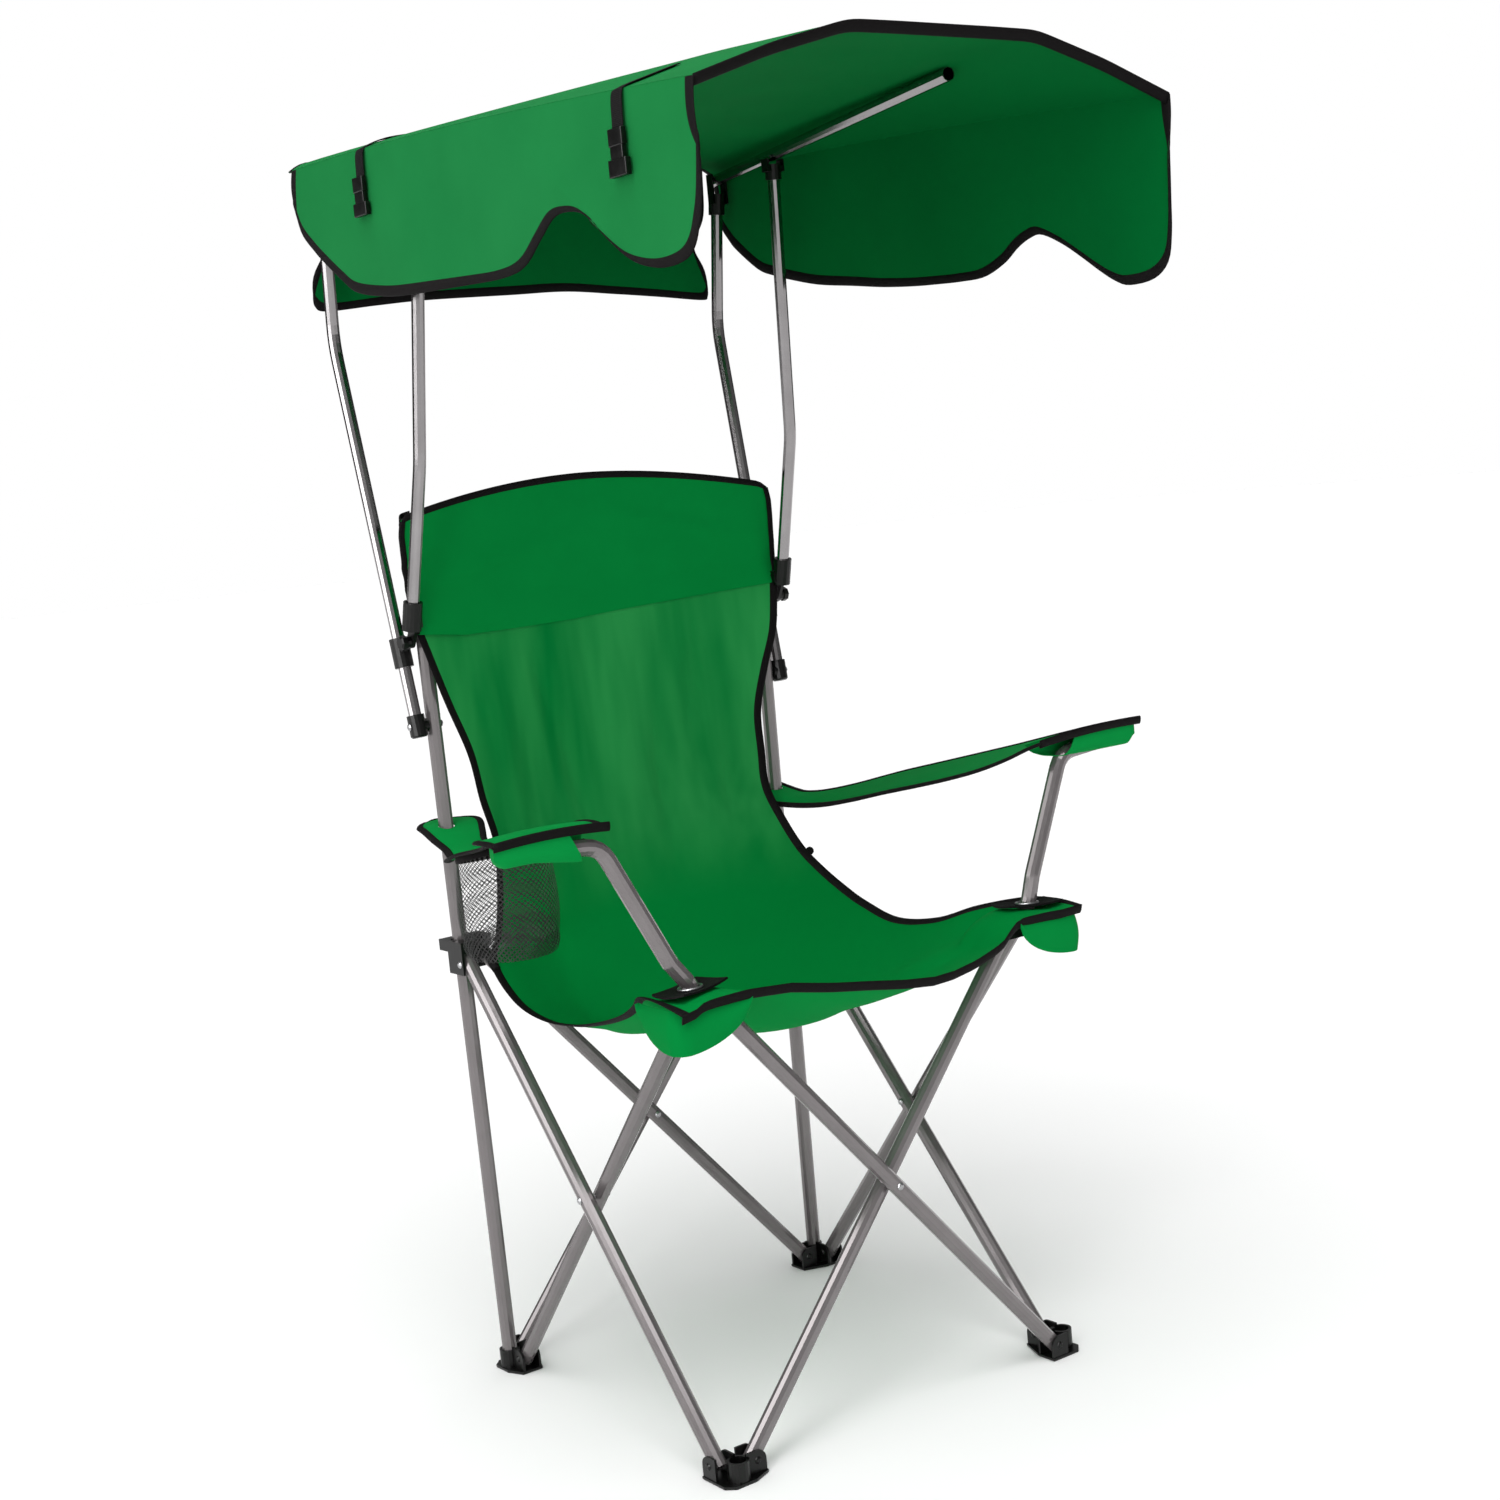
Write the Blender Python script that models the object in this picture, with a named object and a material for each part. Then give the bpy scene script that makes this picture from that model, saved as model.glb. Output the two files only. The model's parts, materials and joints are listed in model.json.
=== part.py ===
# Folding beach chair with a canopy: steel quad frame, fabric seat and back,
# and a fabric roof on two swinging struts a side.
# Metres, +Z up. The chair faces -Y. Left is -X and right is +X, as seen from the front.
# The origin is on the floor, under the middle of the whole chair.

import math

import bmesh
import bpy
from mathutils import Matrix, Vector

# Folding frame
FOOT_SPACING = 0.495
PIN_INSET = 0.025
FOOT_PIN_HEIGHT = 0.018
HUB_PIN_HEIGHT = 0.533
FRAME_TUBE = 0.019
FRAME_WALL = 0.0012
CROSS_GAP = 0.0014
TUBE_PAST_PIN = 0.006
PIN_DIAMETER = 0.005
PIN_CLEARANCE = 0.0003
HEAD_DIAMETER = 0.009
HEAD_HEIGHT = 0.0020
SEAT_GAP = 0.0003

# Posts behind the back
POST_SET_IN = 0.0015
POST_HEIGHT = 1.062
POST_FLOOR = 0.0045
POST_LEAN_SHARE = 0.0118

# Feet
SOCKET_OUTER = 0.013
SOCKET_HEIGHT = 0.026
SOCKET_PLAY = 0.0003
FOOT_FLOOR = 0.0038
FORK_WALL = 0.0030
FORK_PLAY = 0.0006
FORK_RADIUS = 0.0115
FORK_START = 0.012
FLOOR_LIP = 0.0010
FOOT_CHAMFER = 0.0016

# Hubs
HUB_DROP = 0.0130
HUB_RISE = 0.0140
FRONT_HUB_RISE = 0.0090
HUB_EDGE = 0.0075
RING_PLAY = 0.0016
RING_RISE = 0.0140
BLOCK_CUT = 0.0100

# Folded state, which sets how far the rear hubs travel
FOLDED_SPACING = 0.190

# Arm tubes above the front hubs
ARM_STRAIGHT = 0.025
ARM_LOW_OUT = 0.267
ARM_LOW_FRONT = 0.241
ARM_LOW_HEIGHT = 0.588
ARM_TOP_OUT = 0.336
ARM_TOP_FRONT = 0.234
ARM_TOP_HEIGHT = 0.727
ARM_END_OUT = 0.450
ARM_END_HEIGHT = 0.736
ARM_BEND = 0.032

# Canopy frame, left side, from the middle of the feet
CANOPY_TUBE = 0.016
CANOPY_WALL = 0.0010
SWING_OUT = 0.280
SWING_ABOVE_NECK = 0.167
REAR_BEND_OUT = 0.292
REAR_BEND_BACK = 0.329
REAR_BEND_RISE = 0.474
CORNER_OUT = 0.297
CORNER_BACK = 0.306
CORNER_RISE = 0.671
CORNER_DROP = 0.018
FRONT_FOOT_OUT = 0.2835
FRONT_FOOT_BACK = 0.224
FRONT_FOOT_RISE = 0.023
FRONT_BEND_OUT = 0.2785
FRONT_BEND_BACK = 0.170
FRONT_BEND_RISE = 0.188
COLLAR_BACK = 0.130
STRUT_BEND = 0.160
BAR_TURN_SHARE = 0.2128
BAR_FRONT = 0.322
BAR_FRONT_RISE = 0.0119
BAR_PAST_PIN = 0.0090

# Canopy mouldings
CAP_RADIUS = 0.0110
CAP_HALF = 0.0140
CAP_BORE_PLAY = 0.0003
CAP_TUBE_START = 0.0045
LUG_RADIUS = 0.0085
LUG_GAP = 0.0006
SLEEVE_RADIUS = 0.0120
SLEEVE_BELOW_PIVOT = 0.031
SLEEVE_ABOVE_PIVOT = 0.005
SLEEVE_PLAY = 0.0004
STRUT_SOCKET_DEPTH = 0.016
STRUT_SOCKET_RISE = 0.027
PIVOT_BACK = 0.236
PIVOT_RISE = 0.104
PIVOT_EYE = 0.0075
PIVOT_LAYER = 0.0045
PIVOT_GAP = 0.0004
CLIP_PLAY = 0.0006
CLIP_WALL = 0.0022
CLIP_HEIGHT = 0.016
CLIP_REACH = 0.007
CLIP_DEPTH = 0.0090
CLIP_DROP = 0.016
WEB_BACK = 0.242
WEB_FRONT = 0.222
KNOB_RADIUS = 0.0095
KNOB_HEIGHT = 0.0085
KNOB_LOBE_DEPTH = 0.0008
KNOB_LOBES = 8
EAR_HALF_GAP = 0.0101
EAR_WALL = 0.0022
EAR_HALF_LENGTH = 0.0065
EAR_PIN = 0.0042
EAR_ABOVE_PIN = 0.0080
CORNER_SLEEVE_WALL = 0.0031
CORNER_SLEEVE_LENGTH = 0.028
COLLAR_WALL = 0.0026
COLLAR_LENGTH = 0.020
COLLAR_TOP_GAP = 0.0032
COLLAR_EAR_PLAY = 0.0030
COLLAR_EAR_RISE = 0.0060

# Cloth
CLOTH = 0.0020
CLOTH_GAP = 0.0010
SLING_HALF = 0.290
SLING_FRONT = 0.277
SLING_DEPTH = 0.539
SLING_LOW = 0.443
SEAT_TURN_BACK = 0.2255
SEAT_TURN_HEIGHT = 0.5575
FLAP_FRONT = 0.280
FLAP_RADIUS = 0.090
FLAP_DROP = 0.048
HEM_DROP = 0.006
EYELET_PLAY = 0.0016
BAND_BOTTOM = 0.944
BAND_POST_BOTTOM = 0.990
BACK_CORNER = 1.080
BACK_CROWN = 1.115
BACK_EDGE_AT = 0.227
BACK_BELLY = 0.034
BAND_THICKNESS = 0.0014
ARM_DISC_REAR = 0.288
ARM_DISC_IN = 0.212
ARM_DISC_OUT = 0.270
ARM_DISC_HEIGHT = 0.684
ARM_NECK_HEIGHT = 0.665
CUP_OUT = 0.297
CUP_AT = 0.060
CUP_RIM_HEIGHT = 0.6884
CUP_BOTTOM = 0.566
CUP_RADIUS = 0.054
CUP_WALL = 0.0022
CUP_RIM_SLOPE_SHARE = 0.22
ARM_PAD_HEIGHT = 0.752
ARM_PAD_FRONT = 0.250
ARM_PAD_DROP = 0.034
ARM_PAD_OUT = 0.465
ARM_PAD_IN = 0.322

# Outlines of the cloth, as pairs of place and value
# The sling's lines give (out, back, up) shares of its half width, depth and rise
SEAT_LEFT_SHARES = ((1, 0, 0.216), (0.993, 0.134, 0.221), (0.903, 0.236, 0.172), (0.862, 0.315, 0.132),
                    (0.817, 0.44, 0.092), (0.803, 0.57, 0.064), (0.803, 0.699, 0.058),
                    (0.81, 0.811, 0.09), (0.814, 0.894, 0.174))
SEAT_MIDDLE_SHARES = ((0, 0, 0.14), (0, 0.134, 0.07), (0, 0.236, 0.026), (0, 0.315, 0.006),
                      (0, 0.44, 0), (0, 0.57, 0.012), (0, 0.699, 0.05), (0, 0.811, 0.118),
                      (0, 0.894, 0.218))
SEAT_RIGHT_SHARES = ((1, 0, 0.216), (1, 0.134, 0.223), (0.848, 0.236, 0.206), (0.783, 0.315, 0.174),
                     (0.752, 0.44, 0.164), (0.745, 0.551, 0.196), (0.741, 0.625, 0.23),
                     (0.734, 0.699, 0.274), (0.724, 0.764, 0.326))
BACK_LEFT_SHARES = ((0.814, 0.894, 0.174), (0.762, 0.904, 0.246), (0.714, 0.926, 0.354),
                    (0.714, 0.935, 0.474), (0.766, 0.937, 0.614), (0.838, 0.937, 0.774),
                    (0.903, 0.937, 1))
BACK_MIDDLE_SHARES = ((0, 0.894, 0.218), (0, 0.937, 0.314), (0, 0.965, 0.434), (0, 0.981, 0.574),
                      (0, 0.993, 0.714), (0, 0.998, 0.854), (0, 0.996, 1))
BACK_RIGHT_SHARES = ((0.724, 0.764, 0.326), (0.717, 0.826, 0.402), (0.724, 0.881, 0.484),
                     (0.748, 0.918, 0.574), (0.803, 0.937, 0.694), (0.855, 0.937, 0.814),
                     (0.903, 0.937, 1))
SEAM_SHARE = 0.03
SEAT_BOW_SHARES = (1.3, 1.3, 0.6, 0.3, 0, 0, 0, 0, 0)
SEAT_COLUMN_SHARES = (-1, -0.93, -0.86, -0.79, -0.6, -0.3, 0, 0.3, 0.6, 0.79, 0.86, 0.93, 1)
FLAP_ROW_SHARES = (0.35, 1)
BACK_COLUMN_SHARES = (-1, -0.8, -0.55, -0.28, 0, 0.28, 0.55, 0.8, 1)
BAND_COLUMN_SHARES = (-0.93, -0.7, -0.4, 0, 0.4, 0.7, 0.93)
BAND_ROW_SHARES = (0, 0.35, 0.7, 1)
BAND_WRAP_DEGREES = (-35, -8, 19, 46, 73, 100, 127, 154, 180)
ARM_PLACE_SHARES = (0, 0.024, 0.078, 0.136, 0.173, 0.275, 0.424, 0.572, 0.721, 0.833, 0.907, 0.972)
ARM_INNER_SHARES = ((0, 0.27), (0.024, 0.09), (0.078, 0), (0.136, 0.09), (0.173, 0.18), (0.275, 0.3),
                    (0.424, 0.23), (0.572, 0.35), (0.721, 0.66), (0.833, 0.94), (0.907, 0.98), (1, 1))
ARM_OUTER_SHARES = ((0, 0), (0.024, 0.1), (0.078, 0.15), (0.136, 0.1), (0.173, 0.08), (0.275, 0.38),
                    (0.424, 0.45), (0.572, 0.46), (0.721, 0.67), (0.833, 0.9), (0.907, 0.98), (1, 1))
ARM_HEIGHT_SHARES = ((0, 0.46), (0.024, 0.39), (0.078, 0.224), (0.136, 0.045), (0.173, 0), (0.275, 0.078),
                     (0.424, 0.291), (0.572, 0.493), (0.721, 0.79), (0.833, 0.96), (0.907, 0.99), (1, 1))
ARM_DROP_SHARES = (0.25, 1)
ARM_COLUMN_SHARES = (0, 0.2, 0.4, 0.6, 0.8, 1)
CUP_FOOT_SHARE = 0.78
CUP_BELLY_SHARE = 0.97

# Canopy cloth
CANOPY_FRONT = 0.502
CANOPY_REAR = 0.347
CANOPY_RIDGE_RISE = 0.0240
CANOPY_FOLD_RISE = 0.0130
CANOPY_FOLD_FALL = 0.054
CANOPY_HALF = 0.3170
CANOPY_FLAP_GAP = 0.0005
RIDGE_FALL = 0.007
SIDE_FLAP_DROP = 0.200
REAR_FLAP_DROP = 0.152
REAR_FLAP_HALF = 0.302
FOLD_FALL_POWER_SHARE = 1.5
RIDGE_FALL_POWER_SHARE = 4
RIDGE_LIMIT_SHARE = 0.96
RIDGE_SWELL_SHARE = 1.15
ROOF_ROW_SHARES = (0, 0.06, 0.14, 0.28, 0.42, 0.56, 0.7, 0.84, 0.93, 1)
FLAP_EDGE_SHARES = ((0.014, 0.08), (0.032, 0.33), (0.067, 0.555), (0.114, 0.695), (0.185, 0.81),
                    (0.326, 0.91), (0.468, 0.955), (0.562, 0.975), (0.621, 0.945), (0.668, 0.83),
                    (0.715, 0.77), (0.75, 0.805), (0.797, 0.93), (0.845, 1.04), (0.892, 1.125),
                    (0.939, 1.145), (0.968, 1.095), (0.986, 0.93), (0.998, 0.33))
REAR_FLAP_SHARES = ((-1, 0.95), (-0.9, 1), (-0.5, 1.06), (0, 1.1), (0.5, 1.03), (0.9, 0.98), (1, 0.93))

TUBE_SIDES = 12
ROUND_SIDES = 16
HOLE_SIDES = 12
BEND_STEPS = 4
CUT_OVERRUN = 0.002

HALF = FOOT_SPACING / 2
PLANE_OFFSET = FRAME_TUBE / 2 + CROSS_GAP / 2
BASE_Y = (CANOPY_FRONT - CANOPY_REAR) / 2
FRAME_RADIUS = FRAME_TUBE / 2
CANOPY_RADIUS = CANOPY_TUBE / 2
SPAN = FOOT_SPACING - 2 * PIN_INSET
RISE = HUB_PIN_HEIGHT - FOOT_PIN_HEIGHT
TUBE_REACH = math.hypot(SPAN, RISE)
FOLDED_SPAN = FOLDED_SPACING - 2 * PIN_INSET
HUB_TRAVEL = math.sqrt(TUBE_REACH**2 - FOLDED_SPAN**2) - RISE
POST_BACK = HALF - POST_SET_IN
SWING_HEIGHT = ARM_NECK_HEIGHT + SWING_ABOVE_NECK
REAR_BEND_HEIGHT = SWING_HEIGHT + REAR_BEND_RISE
CORNER_HEIGHT = SWING_HEIGHT + CORNER_RISE
PIVOT_HEIGHT = SWING_HEIGHT + PIVOT_RISE
SLEEVE_LOW = PIVOT_HEIGHT - SLEEVE_BELOW_PIVOT
SLEEVE_HIGH = PIVOT_HEIGHT + SLEEVE_ABOVE_PIVOT
FRONT_FOOT_HEIGHT = PIVOT_HEIGHT + FRONT_FOOT_RISE
FRONT_BEND_HEIGHT = FRONT_FOOT_HEIGHT + FRONT_BEND_RISE
BAR_FRONT_HEIGHT = CORNER_HEIGHT + BAR_FRONT_RISE
CANOPY_RIDGE_HEIGHT = CORNER_HEIGHT + CANOPY_RIDGE_RISE
CANOPY_FOLD_HEIGHT = CORNER_HEIGHT + CANOPY_FOLD_RISE
SLING_RISE = BAND_BOTTOM - CLOTH_GAP - SLING_LOW

BASE = Vector((0, BASE_Y, 0))
X_AXIS = Vector((1, 0, 0))
Z_AXIS = Vector((0, 0, 1))

CORNERS = ("front_left", "front_right", "rear_right", "rear_left")
SIDE_NAMES = ("front", "right", "back", "left")
LEG_NAMES = {
    (0, True): "front_tube_inner",
    (0, False): "front_tube_outer",
    (1, True): "side_tube_right",
    (1, False): "arm_tube_right",
    (2, True): "back_tube_inner",
    (2, False): "back_tube_outer",
    (3, True): "arm_tube_left",
    (3, False): "side_tube_left",
}

# Paints and finishes: colour, roughness, metallic
FINISHES = {
    "grey_paint": ((0.25, 0.24, 0.245), 0.32, 0.6),
    "bright_steel": ((0.56, 0.56, 0.57), 0.22, 1.0),
    "black_moulding": ((0.012, 0.012, 0.013), 0.28, 0.0),
    "zinc": ((0.45, 0.45, 0.46), 0.35, 1.0),
    "green_cloth": ((0.008, 0.165, 0.035), 0.75, 0.0),
    "black_net": ((0.012, 0.012, 0.012), 0.8, 0.0),
}

bodies = {}


def clear_scene():
    for old in list(bpy.data.objects):
        bpy.data.objects.remove(old, do_unlink=True)


def finish(name, key):
    colour, roughness, metallic = FINISHES[key]
    made = bpy.data.materials.new(name + "_" + key)
    made.use_nodes = True
    shader = made.node_tree.nodes["Principled BSDF"]
    shader.inputs["Base Color"].default_value = (*colour, 1)
    shader.inputs["Roughness"].default_value = roughness
    shader.inputs["Metallic"].default_value = metallic
    return made


def from_bmesh(name, bm, key, smooth=True):
    bmesh.ops.recalc_face_normals(bm, faces=bm.faces)
    mesh = bpy.data.meshes.new(name)
    bm.to_mesh(mesh)
    bm.free()
    if smooth:
        mesh.shade_smooth()
        mesh.set_sharp_from_angle(angle=math.radians(35))
    made = bpy.data.objects.new(name, mesh)
    bpy.context.scene.collection.objects.link(made)
    if key:
        mesh.materials.append(finish(name, key))
    return made


# A body is an empty on its joint's axis, and its pieces hang from it.
def body(name, pivot):
    holder = bpy.data.objects.new("body_" + name, None)
    holder.location = pivot
    bpy.context.scene.collection.objects.link(holder)
    bodies[name] = holder
    return holder


def put_on(holder, *pieces):
    for piece in pieces:
        piece.data.transform(Matrix.Translation(-holder.location))
        piece.parent = holder


# Makes a piece a hidden cutter, with its shape kept in place.
def as_cutter(piece):
    piece.hide_render = True
    piece.display_type = "WIRE"
    return piece


def boolean(piece, other, operation="DIFFERENCE"):
    step = piece.modifiers.new(operation.lower(), "BOOLEAN")
    step.operation = operation
    step.solver = "EXACT"
    step.object = other
    as_cutter(other)


# Adds a closed cylinder between two points to a mesh under way.
def add_cylinder(bm, start, end, radius, sides=ROUND_SIDES, end_radius=None):
    line = end - start
    turn = line.to_track_quat("Z", "Y").to_matrix().to_4x4()
    place = Matrix.Translation((start + end) / 2) @ turn
    far = radius if end_radius is None else end_radius
    bmesh.ops.create_cone(bm, cap_ends=True, segments=sides, radius1=radius,
                          radius2=far, depth=line.length, matrix=place)


def add_box(bm, low, high):
    size = high - low
    grow = Matrix.Diagonal((size.x, size.y, size.z, 1))
    bmesh.ops.create_cube(bm, size=1, matrix=Matrix.Translation((low + high) / 2) @ grow)


def cylinder(name, start, end, radius, key, sides=ROUND_SIDES):
    bm = bmesh.new()
    add_cylinder(bm, start, end, radius, sides)
    return from_bmesh(name, bm, key)


# Turns a bent line into points, with an arc of the given radius at each bend.
def rounded_path(points, bend):
    path = [points[0]]
    for before, here, after in zip(points, points[1:], points[2:]):
        into = (before - here).normalized()
        out = (after - here).normalized()
        half_turn = (math.pi - into.angle(out)) / 2
        reach = bend * math.tan(half_turn)
        middle = here + (into + out).normalized() * (bend / math.cos(half_turn))
        first = here + into * reach - middle
        last = here + out * reach - middle
        whole = first.angle(last)
        for step in range(BEND_STEPS + 1):
            part = step / BEND_STEPS
            side = math.sin((1 - part) * whole) * first + math.sin(part * whole) * last
            path.append(middle + side / math.sin(whole))
    path.append(points[-1])
    return path


# Square rings carried along a path without twist.
def rings_along(path, radius, sides):
    rings = []
    tangent = (path[1] - path[0]).normalized()
    side = tangent.orthogonal().normalized()
    for index, point in enumerate(path):
        ahead = path[min(index + 1, len(path) - 1)]
        behind = path[max(index - 1, 0)]
        new = (ahead - behind).normalized()
        side = (tangent.rotation_difference(new) @ side).normalized()
        tangent = new
        up = tangent.cross(side)
        ring = []
        for step in range(sides):
            turn = 2 * math.pi * step / sides
            ring.append(point + radius * (math.cos(turn) * side + math.sin(turn) * up))
        rings.append(ring)
    return rings


def bridge(bm, first, second):
    count = len(first)
    for step in range(count):
        after = (step + 1) % count
        bm.faces.new((first[step], first[after], second[after], second[step]))


# Bent tube with an open bore.
def tube(name, path, diameter, wall, key, sides=TUBE_SIDES):
    bm = bmesh.new()
    outer = [[bm.verts.new(p) for p in ring] for ring in rings_along(path, diameter / 2, sides)]
    inner = [[bm.verts.new(p) for p in ring] for ring in rings_along(path, diameter / 2 - wall, sides)]
    for wall_rings in (outer, inner):
        for first, second in zip(wall_rings, wall_rings[1:]):
            bridge(bm, first, second)
    bridge(bm, outer[0], inner[0])
    bridge(bm, outer[-1], inner[-1])
    return from_bmesh(name, bm, key)


# Solid bent rod, which also serves as the cutter for a hole that a tube passes.
def rod(name, path, diameter, key, sides=TUBE_SIDES):
    bm = bmesh.new()
    rings = [[bm.verts.new(p) for p in ring] for ring in rings_along(path, diameter / 2, sides)]
    for first, second in zip(rings, rings[1:]):
        bridge(bm, first, second)
    bm.faces.new(rings[0])
    bm.faces.new(list(reversed(rings[-1])))
    return from_bmesh(name, bm, key)


# A sheet of cloth of one thickness round a grid of middle points.
def sheet(name, rows, thickness, key):
    bm = bmesh.new()
    count = len(rows)
    width = len(rows[0])
    top = []
    low = []
    for j in range(count):
        top_row = []
        low_row = []
        for i in range(width):
            along = rows[j][min(i + 1, width - 1)] - rows[j][max(i - 1, 0)]
            across = rows[min(j + 1, count - 1)][i] - rows[max(j - 1, 0)][i]
            normal = along.cross(across).normalized() * (thickness / 2)
            top_row.append(bm.verts.new(rows[j][i] + normal))
            low_row.append(bm.verts.new(rows[j][i] - normal))
        top.append(top_row)
        low.append(low_row)
    for j in range(count - 1):
        for i in range(width - 1):
            bm.faces.new((top[j][i], top[j][i + 1], top[j + 1][i + 1], top[j + 1][i]))
            bm.faces.new((low[j][i], low[j + 1][i], low[j + 1][i + 1], low[j][i + 1]))
    for j in range(count - 1):
        bm.faces.new((top[j][0], top[j + 1][0], low[j + 1][0], low[j][0]))
        bm.faces.new((top[j][-1], low[j][-1], low[j + 1][-1], top[j + 1][-1]))
    for i in range(width - 1):
        bm.faces.new((top[0][i], low[0][i], low[0][i + 1], top[0][i + 1]))
        bm.faces.new((top[-1][i], top[-1][i + 1], low[-1][i + 1], low[-1][i]))
    return from_bmesh(name, bm, key)


# Reads a table of (place share, value share) pairs between its entries.
def read_share(pairs, place):
    for (here, value), (there, after) in zip(pairs, pairs[1:]):
        if place <= there:
            part = max(0, min(1, (place - here) / (there - here)))
            return value + (after - value) * part
    return pairs[-1][1]


# Places on the four sides of the frame. Side s runs from corner s to corner s + 1,
# along is measured from corner s, and out is positive away from the middle.
def on_side(side, along, out, height):
    turn = Matrix.Rotation(side * math.pi / 2, 3, "Z")
    return BASE + turn @ Vector((-HALF + along, -HALF - out, height))


def side_normal(side):
    return Matrix.Rotation(side * math.pi / 2, 3, "Z") @ Vector((0, -1, 0))


# The pin of the tube that leaves foot s along side s, and of the one that leaves
# foot s + 1 the other way, at the foot, in the middle and at the hub.
def pin_places(side, inner):
    out = -PLANE_OFFSET if inner else PLANE_OFFSET
    near = on_side(side, PIN_INSET, out, FOOT_PIN_HEIGHT if inner else HUB_PIN_HEIGHT)
    far = on_side(side, FOOT_SPACING - PIN_INSET, out, HUB_PIN_HEIGHT if inner else FOOT_PIN_HEIGHT)
    return (near, far) if inner else (far, near)


def middle_pin(side):
    foot, hub = pin_places(side, True)
    other_foot, other_hub = pin_places(side, False)
    return (foot + hub + other_foot + other_hub) / 4


# Places round a corner of the frame: a runs along the side that leaves the corner
# counter-clockwise, b along the side that arrives there, both inwards.
def at_corner(corner, a, b, height):
    turn = Matrix.Rotation(corner * math.pi / 2, 3, "Z")
    return BASE + turn @ Vector((a - HALF, b - HALF, height))


# Adds a turned piece: rings of a (radius, height) profile round an axis, closed at both ends.
def add_turned(bm, centre, axis, profile, sides=HOLE_SIDES):
    turn = axis.to_track_quat("Z", "Y").to_matrix()
    rings = []
    for radius, height in profile:
        ring = []
        for step in range(sides):
            angle = 2 * math.pi * step / sides
            spot = Vector((radius * math.cos(angle), radius * math.sin(angle), height))
            ring.append(bm.verts.new(centre + turn @ spot))
        rings.append(ring)
    for first, second in zip(rings, rings[1:]):
        bridge(bm, first, second)
    bm.faces.new(list(reversed(rings[0])))
    bm.faces.new(rings[-1])


# A rivet's outline: a domed head at each end of the shank.
def rivet_profile(half_grip):
    seat = half_grip + SEAT_GAP
    head = HEAD_DIAMETER / 2
    dome = math.pi / 5
    top = [
        (PIN_DIAMETER / 2, seat),
        (head, seat),
        (head * math.cos(dome), seat + HEAD_HEIGHT * math.sin(dome)),
        (head / 2, seat + HEAD_HEIGHT),
    ]
    return [(radius, -height) for radius, height in reversed(top)] + top


def rivet(name, centre, axis, half_grip):
    bm = bmesh.new()
    add_turned(bm, centre, axis, rivet_profile(half_grip))
    return from_bmesh(name, bm, "zinc")


# One cutter for every pin hole of the quad frame, a little longer than the forks.
def pin_hole_cutter():
    bm = bmesh.new()
    fork = FRAME_RADIUS + FORK_PLAY + FORK_WALL + CUT_OVERRUN
    cross = PLANE_OFFSET + FRAME_RADIUS + CUT_OVERRUN
    radius = PIN_DIAMETER / 2 + PIN_CLEARANCE
    for side in range(len(CORNERS)):
        normal = side_normal(side)
        places = [(place, fork) for inner in (True, False) for place in pin_places(side, inner)]
        places.append((middle_pin(side), cross))
        for place, reach in places:
            add_cylinder(bm, place - normal * reach, place + normal * reach, radius, HOLE_SIDES)
    return as_cutter(from_bmesh("pin_hole_cutter", bm, None))


def drill(piece, cutter):
    step = piece.modifiers.new("pin_holes", "BOOLEAN")
    step.operation = "DIFFERENCE"
    step.solver = "EXACT"
    step.object = cutter


# The line of a leg tube, a little past its pins at both ends.
def leg_line(side, inner):
    foot_pin, hub_pin = pin_places(side, inner)
    along = (hub_pin - foot_pin).normalized()
    return [foot_pin - along * TUBE_PAST_PIN, hub_pin + along * TUBE_PAST_PIN]


# The arm tube goes on past the hub, bends out and up, and ends outwards in the arm pad.
def arm_line(side, inner, way):
    foot_pin, hub_pin = pin_places(side, inner)
    along = (hub_pin - foot_pin).normalized()
    return [
        foot_pin - along * TUBE_PAST_PIN,
        hub_pin + along * ARM_STRAIGHT,
        BASE + Vector((way * ARM_LOW_OUT, -ARM_LOW_FRONT, ARM_LOW_HEIGHT)),
        BASE + Vector((way * ARM_TOP_OUT, -ARM_TOP_FRONT, ARM_TOP_HEIGHT)),
        BASE + Vector((way * ARM_END_OUT, -ARM_TOP_FRONT, ARM_END_HEIGHT)),
    ]


def post_at(way, height):
    return BASE + Vector((way * (HALF + POST_LEAN_SHARE * height), POST_BACK, height))


# Pushes an outline of (along, up) points between two places across it.
def add_plate(bm, outline, place, low, high):
    first = [bm.verts.new(place(along, low, up)) for along, up in outline]
    second = [bm.verts.new(place(along, high, up)) for along, up in outline]
    bridge(bm, first, second)
    bm.faces.new(list(reversed(first)))
    bm.faces.new(second)


# A fork wall's outline, flat below and round over the pin.
def ear_outline(start, pin, floor, pin_height):
    outline = [(start, floor), (pin + FORK_RADIUS, floor)]
    steps = HOLE_SIDES // 2
    for step in range(steps + 1):
        angle = math.pi / 2 * step / steps
        outline.append((pin + FORK_RADIUS * math.cos(angle), pin_height + FORK_RADIUS * math.sin(angle)))
    outline.append((start, pin_height + FORK_RADIUS))
    return outline


def add_part(made, index, build):
    bm = bmesh.new()
    build(bm)
    boolean(made, from_bmesh("%s_part_%d" % (made.name, index), bm, None), "UNION")


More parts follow.
